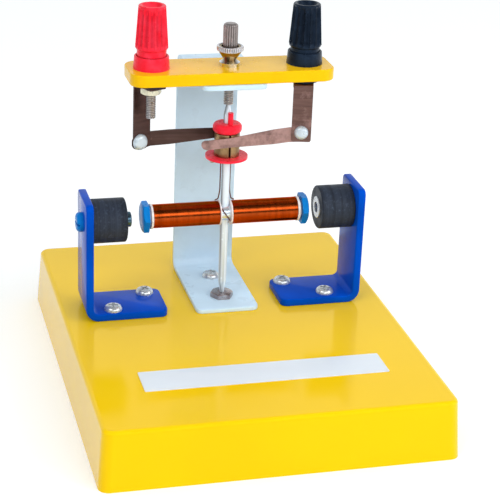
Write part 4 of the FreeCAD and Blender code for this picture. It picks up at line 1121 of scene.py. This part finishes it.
class MOTOR_OT_posts(bpy.types.Operator):
    """Makes the threaded studs and fluted caps of the two binding posts, and finishes their collars"""
    bl_idname = "motor.posts"
    bl_label = "Binding posts"

    def execute(self, context):
        for side, paint in (("left", "red"), ("right", "black")):
            stud, cap = side + "_stud", paint + "_cap"
            spot = middle(stud)
            mesh = put(stud_mesh(stud), (spot.x, spot.y, 0))
            piece(side + "_post_stud", smooth_mesh(mesh, 40), "thread_plate", stud)
            mesh = put(cap_mesh(cap), (spot.x, spot.y, 0))
            piece(paint + "_post_cap", smooth_mesh(mesh, 50), paint + "_plastic", cap)
        paint_nodes("red_plastic", "red_collar")
        paint_nodes("black_plastic", "black_collar", "underside_washers")
        paint_nodes("brass", "red_cap_insert", "black_cap_insert")
        nut_set("terminal_nut_pair", "terminal_nuts", NUT_FLATS, 3.8, "zinc")
        return {"FINISHED"}


def stud_mesh(node):
    """A stud threaded up to the crossbar, and above it a smooth sleeve with the plug's socket."""
    low, high = heights(node)
    thread_top, sleeve_foot = BAR_TOP - 2.6, BAR_TOP + 2.4
    sleeve, socket, socket_depth, drill_tip = 3.0, 2.05, 11.0, 1.0
    ring = eased([(0, low), (THREAD_RADIUS, low, 0.4), (THREAD_RADIUS, thread_top), (0, thread_top)])
    lower = threaded(ring, low, thread_top)
    upper = turned(eased([
        (0, thread_top), (THREAD_RADIUS, thread_top), (THREAD_RADIUS, sleeve_foot), (sleeve, sleeve_foot),
        (sleeve, high, 0.3), (socket, high, 0.25), (socket, high - socket_depth),
        (0, high - socket_depth - drill_tip)]))
    return one_mesh(lower, upper)


def cap_mesh(node):
    """A cap that widens to its skirt: fluted outside, and stepped inside for the stud and the insert."""
    given = sizes()
    foot = heights(node)[0]
    foot_edge, flare, skirt, shoulder = 5.65, 6.1, 6.38, 5.25
    mouth_edge, mouth, sleeve_bore, insert_bore = 3.95, 2.6, 3.2, 3.88
    waist, widest, top, insert_low, insert_high, bore_top = 2.4, 3.5, 19.5, 0.96, 10.1, 16.0
    flutes_low, flutes_high, flutes_root = 3.2, 19.0, 4.6
    outline = [
        (sleeve_bore, 0), (foot_edge, 0, 0.3), (foot_edge, waist, 0.4), (flare, waist + 0.5, 0.5),
        (skirt, widest, 0.5), (shoulder, top, 0.8), (mouth_edge, top, 0.35), (mouth, top - 2.6, 0.3),
        (mouth, bore_top), (sleeve_bore, bore_top), (sleeve_bore, insert_high), (insert_bore, insert_high),
        (insert_bore, insert_low), (sleeve_bore, insert_low)]
    ring = eased([(radius, foot + height, *rounding) for radius, height, *rounding in outline])
    return ridged(divided(ring, 0.9), given.flute_count * 12, count_around=given.flute_count,
                  depth=given.flute_depth, scooped=1.0, low_end=foot + flutes_low,
                  high_end=foot + flutes_high, fade=1.3, least_radius=flutes_root)


class MOTOR_OT_pivot(bpy.types.Operator):
    """Makes the pivot screw with its fluted head, and the knurled lock nut"""
    bl_idname = "motor.pivot"
    bl_label = "Pivot screw and lock nut"

    def execute(self, context):
        for name, node, mesh, angle, finish in (
                ("pivot_screw_thread", "pivot_rod", rod_mesh(), 40, "thread_plate"),
                ("pivot_knob_fluted", "pivot_head", knob_mesh(), 50, "gunmetal"),
                ("lock_nut_knurl", "lock_nut_rim", knurl_mesh(), 40, "rim_plate")):
            put(mesh, (SHAFT.x, SHAFT.y, 0))
            piece(name, smooth_mesh(mesh, angle), finish, node)
        paint_nodes("gilt_nut", "lock_nut_core")
        return {"FINISHED"}


def rod_mesh():
    """The threaded rod, with a cup in its lower end for the shaft's tip."""
    low, high = heights("pivot_rod")
    cup_radius, cup_depth = 1.55, 0.85
    ring = eased([(0, low + cup_depth), (cup_radius, low, 0.05), (THREAD_RADIUS, low, 0.25),
                  (THREAD_RADIUS, high, 0.2), (0, high)])
    return threaded(ring, low, high)


def knob_mesh():
    """The rod's head, domed and fluted, hollow where it stands on the rod."""
    given = sizes()
    low, high = heights("pivot_head")
    inner, outer, dome, hollow_top = 1.99, 2.85, 1.3, high - 1.86
    ring = eased([(inner, low), (outer, low, 0.35), (outer, high, dome), (0, high), (0, hollow_top),
                  (inner, hollow_top)], 8)
    return ridged(divided(ring, 0.35), given.head_flutes * 10, count_around=given.head_flutes,
                  depth=given.knurl_depth, low_end=low - 0.2, high_end=high - 0.1, fade=0.5,
                  least_radius=inner + 0.03)


def knurl_mesh():
    """The lock nut's knurled rim."""
    given = sizes()
    low, high = heights("lock_nut_rim")
    inner, outer, teeth_root, margin = 4.24, 5.15, 4.7, 0.05
    ring = eased([(inner, low), (outer, low, 0.3), (outer, high, 0.3), (inner, high, 0.12)])
    return ridged(divided(ring, 0.25), given.rim_teeth * 8, count_around=given.rim_teeth,
                  depth=given.knurl_depth, pointed=0.6, low_end=low + margin, high_end=high - margin,
                  fade=0.3, least_radius=teeth_root)


# ---------------------------------------------------------------- stage
# Each lamp's width, height and place in metres; all of them look at AIM
LAMPS = {
    "key": (0.9, 0.9, (-0.95, -0.75, 1.15)),
    "fill": (0.9, 0.9, (1.2, -0.7, 0.75)),
    "top": (1.1, 1.1, (0.1, 0.35, 1.5)),
    "front": (1.5, 0.44, (0.31, -1.10, 0.66)),
}
LAMP_COLOUR = (0.96, 0.99, 1.0)
AIM = Vector((0.0, 0.0, 0.06))
FLOOR_HALF = 6000
FRAME_WIDTH = 36.0
CAMERA_PLACE = (-146.80, -563.20, 297.55)
CAMERA_ANGLES = (-15.216, 22.821, 2.405)
WHITE = (1.0, 1.0, 1.0)


class MOTOR_OT_stage(bpy.types.Operator):
    """Lays the floor, hangs the lamps and stands the camera"""
    bl_idname = "motor.stage"
    bl_label = "Stage"

    def execute(self, context):
        given = context.scene.motor_stage
        shape = bmesh.new()
        bmesh.ops.create_grid(shape, x_segments=2, y_segments=2, size=FLOOR_HALF)
        floor = bpy.data.objects.new("studio_floor", mesh_of(shape))
        floor.data.materials.append(floor_paint())
        context.scene.collection.objects.link(floor)

        room(given.ambient)
        for name, (wide, tall, place) in LAMPS.items():
            lamp = bpy.data.lights.new(name + "_lamp", "AREA")
            lamp.shape = "RECTANGLE"
            lamp.size = wide
            lamp.size_y = tall
            lamp.energy = getattr(given, name)
            lamp.color = LAMP_COLOUR
            thing = bpy.data.objects.new(name + "_lamp", lamp)
            thing.location = place
            thing.rotation_euler = (AIM - Vector(place)).to_track_quat("-Z", "Y").to_euler()
            context.scene.collection.objects.link(thing)

        eye = bpy.data.cameras.new("camera")
        eye.lens = given.lens
        eye.sensor_width = FRAME_WIDTH
        eye.clip_end = 30.0
        camera = bpy.data.objects.new("camera", eye)
        camera.matrix_world = camera_matrix(CAMERA_PLACE, *CAMERA_ANGLES)
        context.scene.collection.objects.link(camera)
        context.scene.camera = camera
        context.scene.view_settings.view_transform = "Standard"
        return {"FINISHED"}


def camera_matrix(place, azimuth, elevation, roll):
    """Camera place in millimetres; the angles give the way from the motor back to the camera."""
    a, e, r = (math.radians(angle) for angle in (azimuth, elevation, roll))
    back = Vector((math.sin(a) * math.cos(e), -math.cos(a) * math.cos(e), math.sin(e)))
    right = (-back).cross(Vector((0, 0, 1))).normalized()
    up = right.cross(-back)
    x_axis = right * math.cos(r) + up * math.sin(r)
    y_axis = -right * math.sin(r) + up * math.cos(r)
    matrix = Matrix((x_axis, y_axis, back)).transposed().to_4x4()
    matrix.translation = Vector(place) * MM
    return matrix


def rays_of(tree):
    """What tells a ray of the camera, of gloss and through glass."""
    outputs = tree.nodes.new("ShaderNodeLightPath").outputs
    return [Wire(outputs[f"Is {kind} Ray"]) for kind in ("Camera", "Glossy", "Transmission")]


def floor_paint():
    """White floor: it shows white to the eye and in gloss, and keeps the motor's shadow."""
    grey, added = (0.80, 0.80, 0.80), 0.32
    made = Finish("floor_white", grey, roughness=0.9)
    camera, gloss, glass = rays_of(made.tree)
    seen = camera.math("MAXIMUM", gloss).math("MAXIMUM", glass)
    glow = wire(made.tree, "ShaderNodeEmission", {"Color": (*WHITE, 1.0), "Strength": seen * added})
    both = wire(made.tree, "ShaderNodeAddShader", {0: Wire(made.shader.outputs[0]), 1: glow})
    leave = next(node for node in made.tree.nodes if node.type == "OUTPUT_MATERIAL")
    feed(made.tree, leave.inputs["Surface"], both)
    return made.material


def room(strength):
    """An even pale room; its back is white to the eye and in gloss, its front and ceiling dark in gloss."""
    world = bpy.data.worlds.new("room")
    bpy.context.scene.world = world
    world.use_nodes = True
    tree = world.node_tree
    tree.nodes.clear()
    camera, gloss, glass = rays_of(tree)
    _, y, z = parts_of(tree, Wire(tree.nodes.new("ShaderNodeTexCoord").outputs["Generated"]))
    to_back = (y + 0.15).math("DIVIDE", 0.5, clamp=True)
    below_ceiling = (0.8 - z).math("DIVIDE", 0.4, clamp=True)
    dark, pale_blue = 0.10, (0.93, 0.98, 1.0)
    in_gloss = to_back * below_ceiling * (1 - dark) + dark
    level = between(tree, gloss.math("MAXIMUM", glass), strength, in_gloss)
    level = between(tree, camera, level, 1.0)
    hue = blended(tree, camera, pale_blue, WHITE)
    glow = wire(tree, "ShaderNodeBackground", {"Color": hue, "Strength": level})
    feed(tree, tree.nodes.new("ShaderNodeOutputWorld").inputs["Surface"], glow)


# ---------------------------------------------------------------- the add-on's own parts
class MOTOR_PT_panel(bpy.types.Panel):
    """Lists the sizes, the colours and the pieces of the motor"""
    bl_idname = "MOTOR_PT_panel"
    bl_label = "Electric motor"
    bl_space_type = "VIEW_3D"
    bl_region_type = "UI"
    bl_category = "Motor"

    def draw(self, context):
        for name in GROUPS:
            group = getattr(context.scene, name)
            box = self.layout.box()
            for key in group.__annotations__:
                box.prop(group, key)
        for operator in OPERATORS:
            self.layout.operator(operator.bl_idname)


OPERATORS = (MOTOR_OT_stage, MOTOR_OT_base, MOTOR_OT_column, MOTOR_OT_crossbar, MOTOR_OT_brackets,
             MOTOR_OT_magnets, MOTOR_OT_screws, MOTOR_OT_bearing, MOTOR_OT_armature, MOTOR_OT_windings,
             MOTOR_OT_commutator, MOTOR_OT_brushes, MOTOR_OT_posts, MOTOR_OT_pivot)
GROUPS = {"motor_sizes": MotorSizes, "motor_colours": MotorColours, "motor_stage": MotorStage}


def register():
    for kind in (*GROUPS.values(), *OPERATORS, MOTOR_PT_panel):
        bpy.utils.register_class(kind)
    for name, kind in GROUPS.items():
        setattr(bpy.types.Scene, name, PointerProperty(type=kind))


def unregister():
    for name in GROUPS:
        delattr(bpy.types.Scene, name)
    for kind in (MOTOR_PT_panel, *reversed(OPERATORS), *reversed(GROUPS.values())):
        bpy.utils.unregister_class(kind)


def main():
    register()
    for operator in OPERATORS:
        area, name = operator.bl_idname.split(".")
        getattr(getattr(bpy.ops, area), name)()


if __name__ == "__main__":
    main()
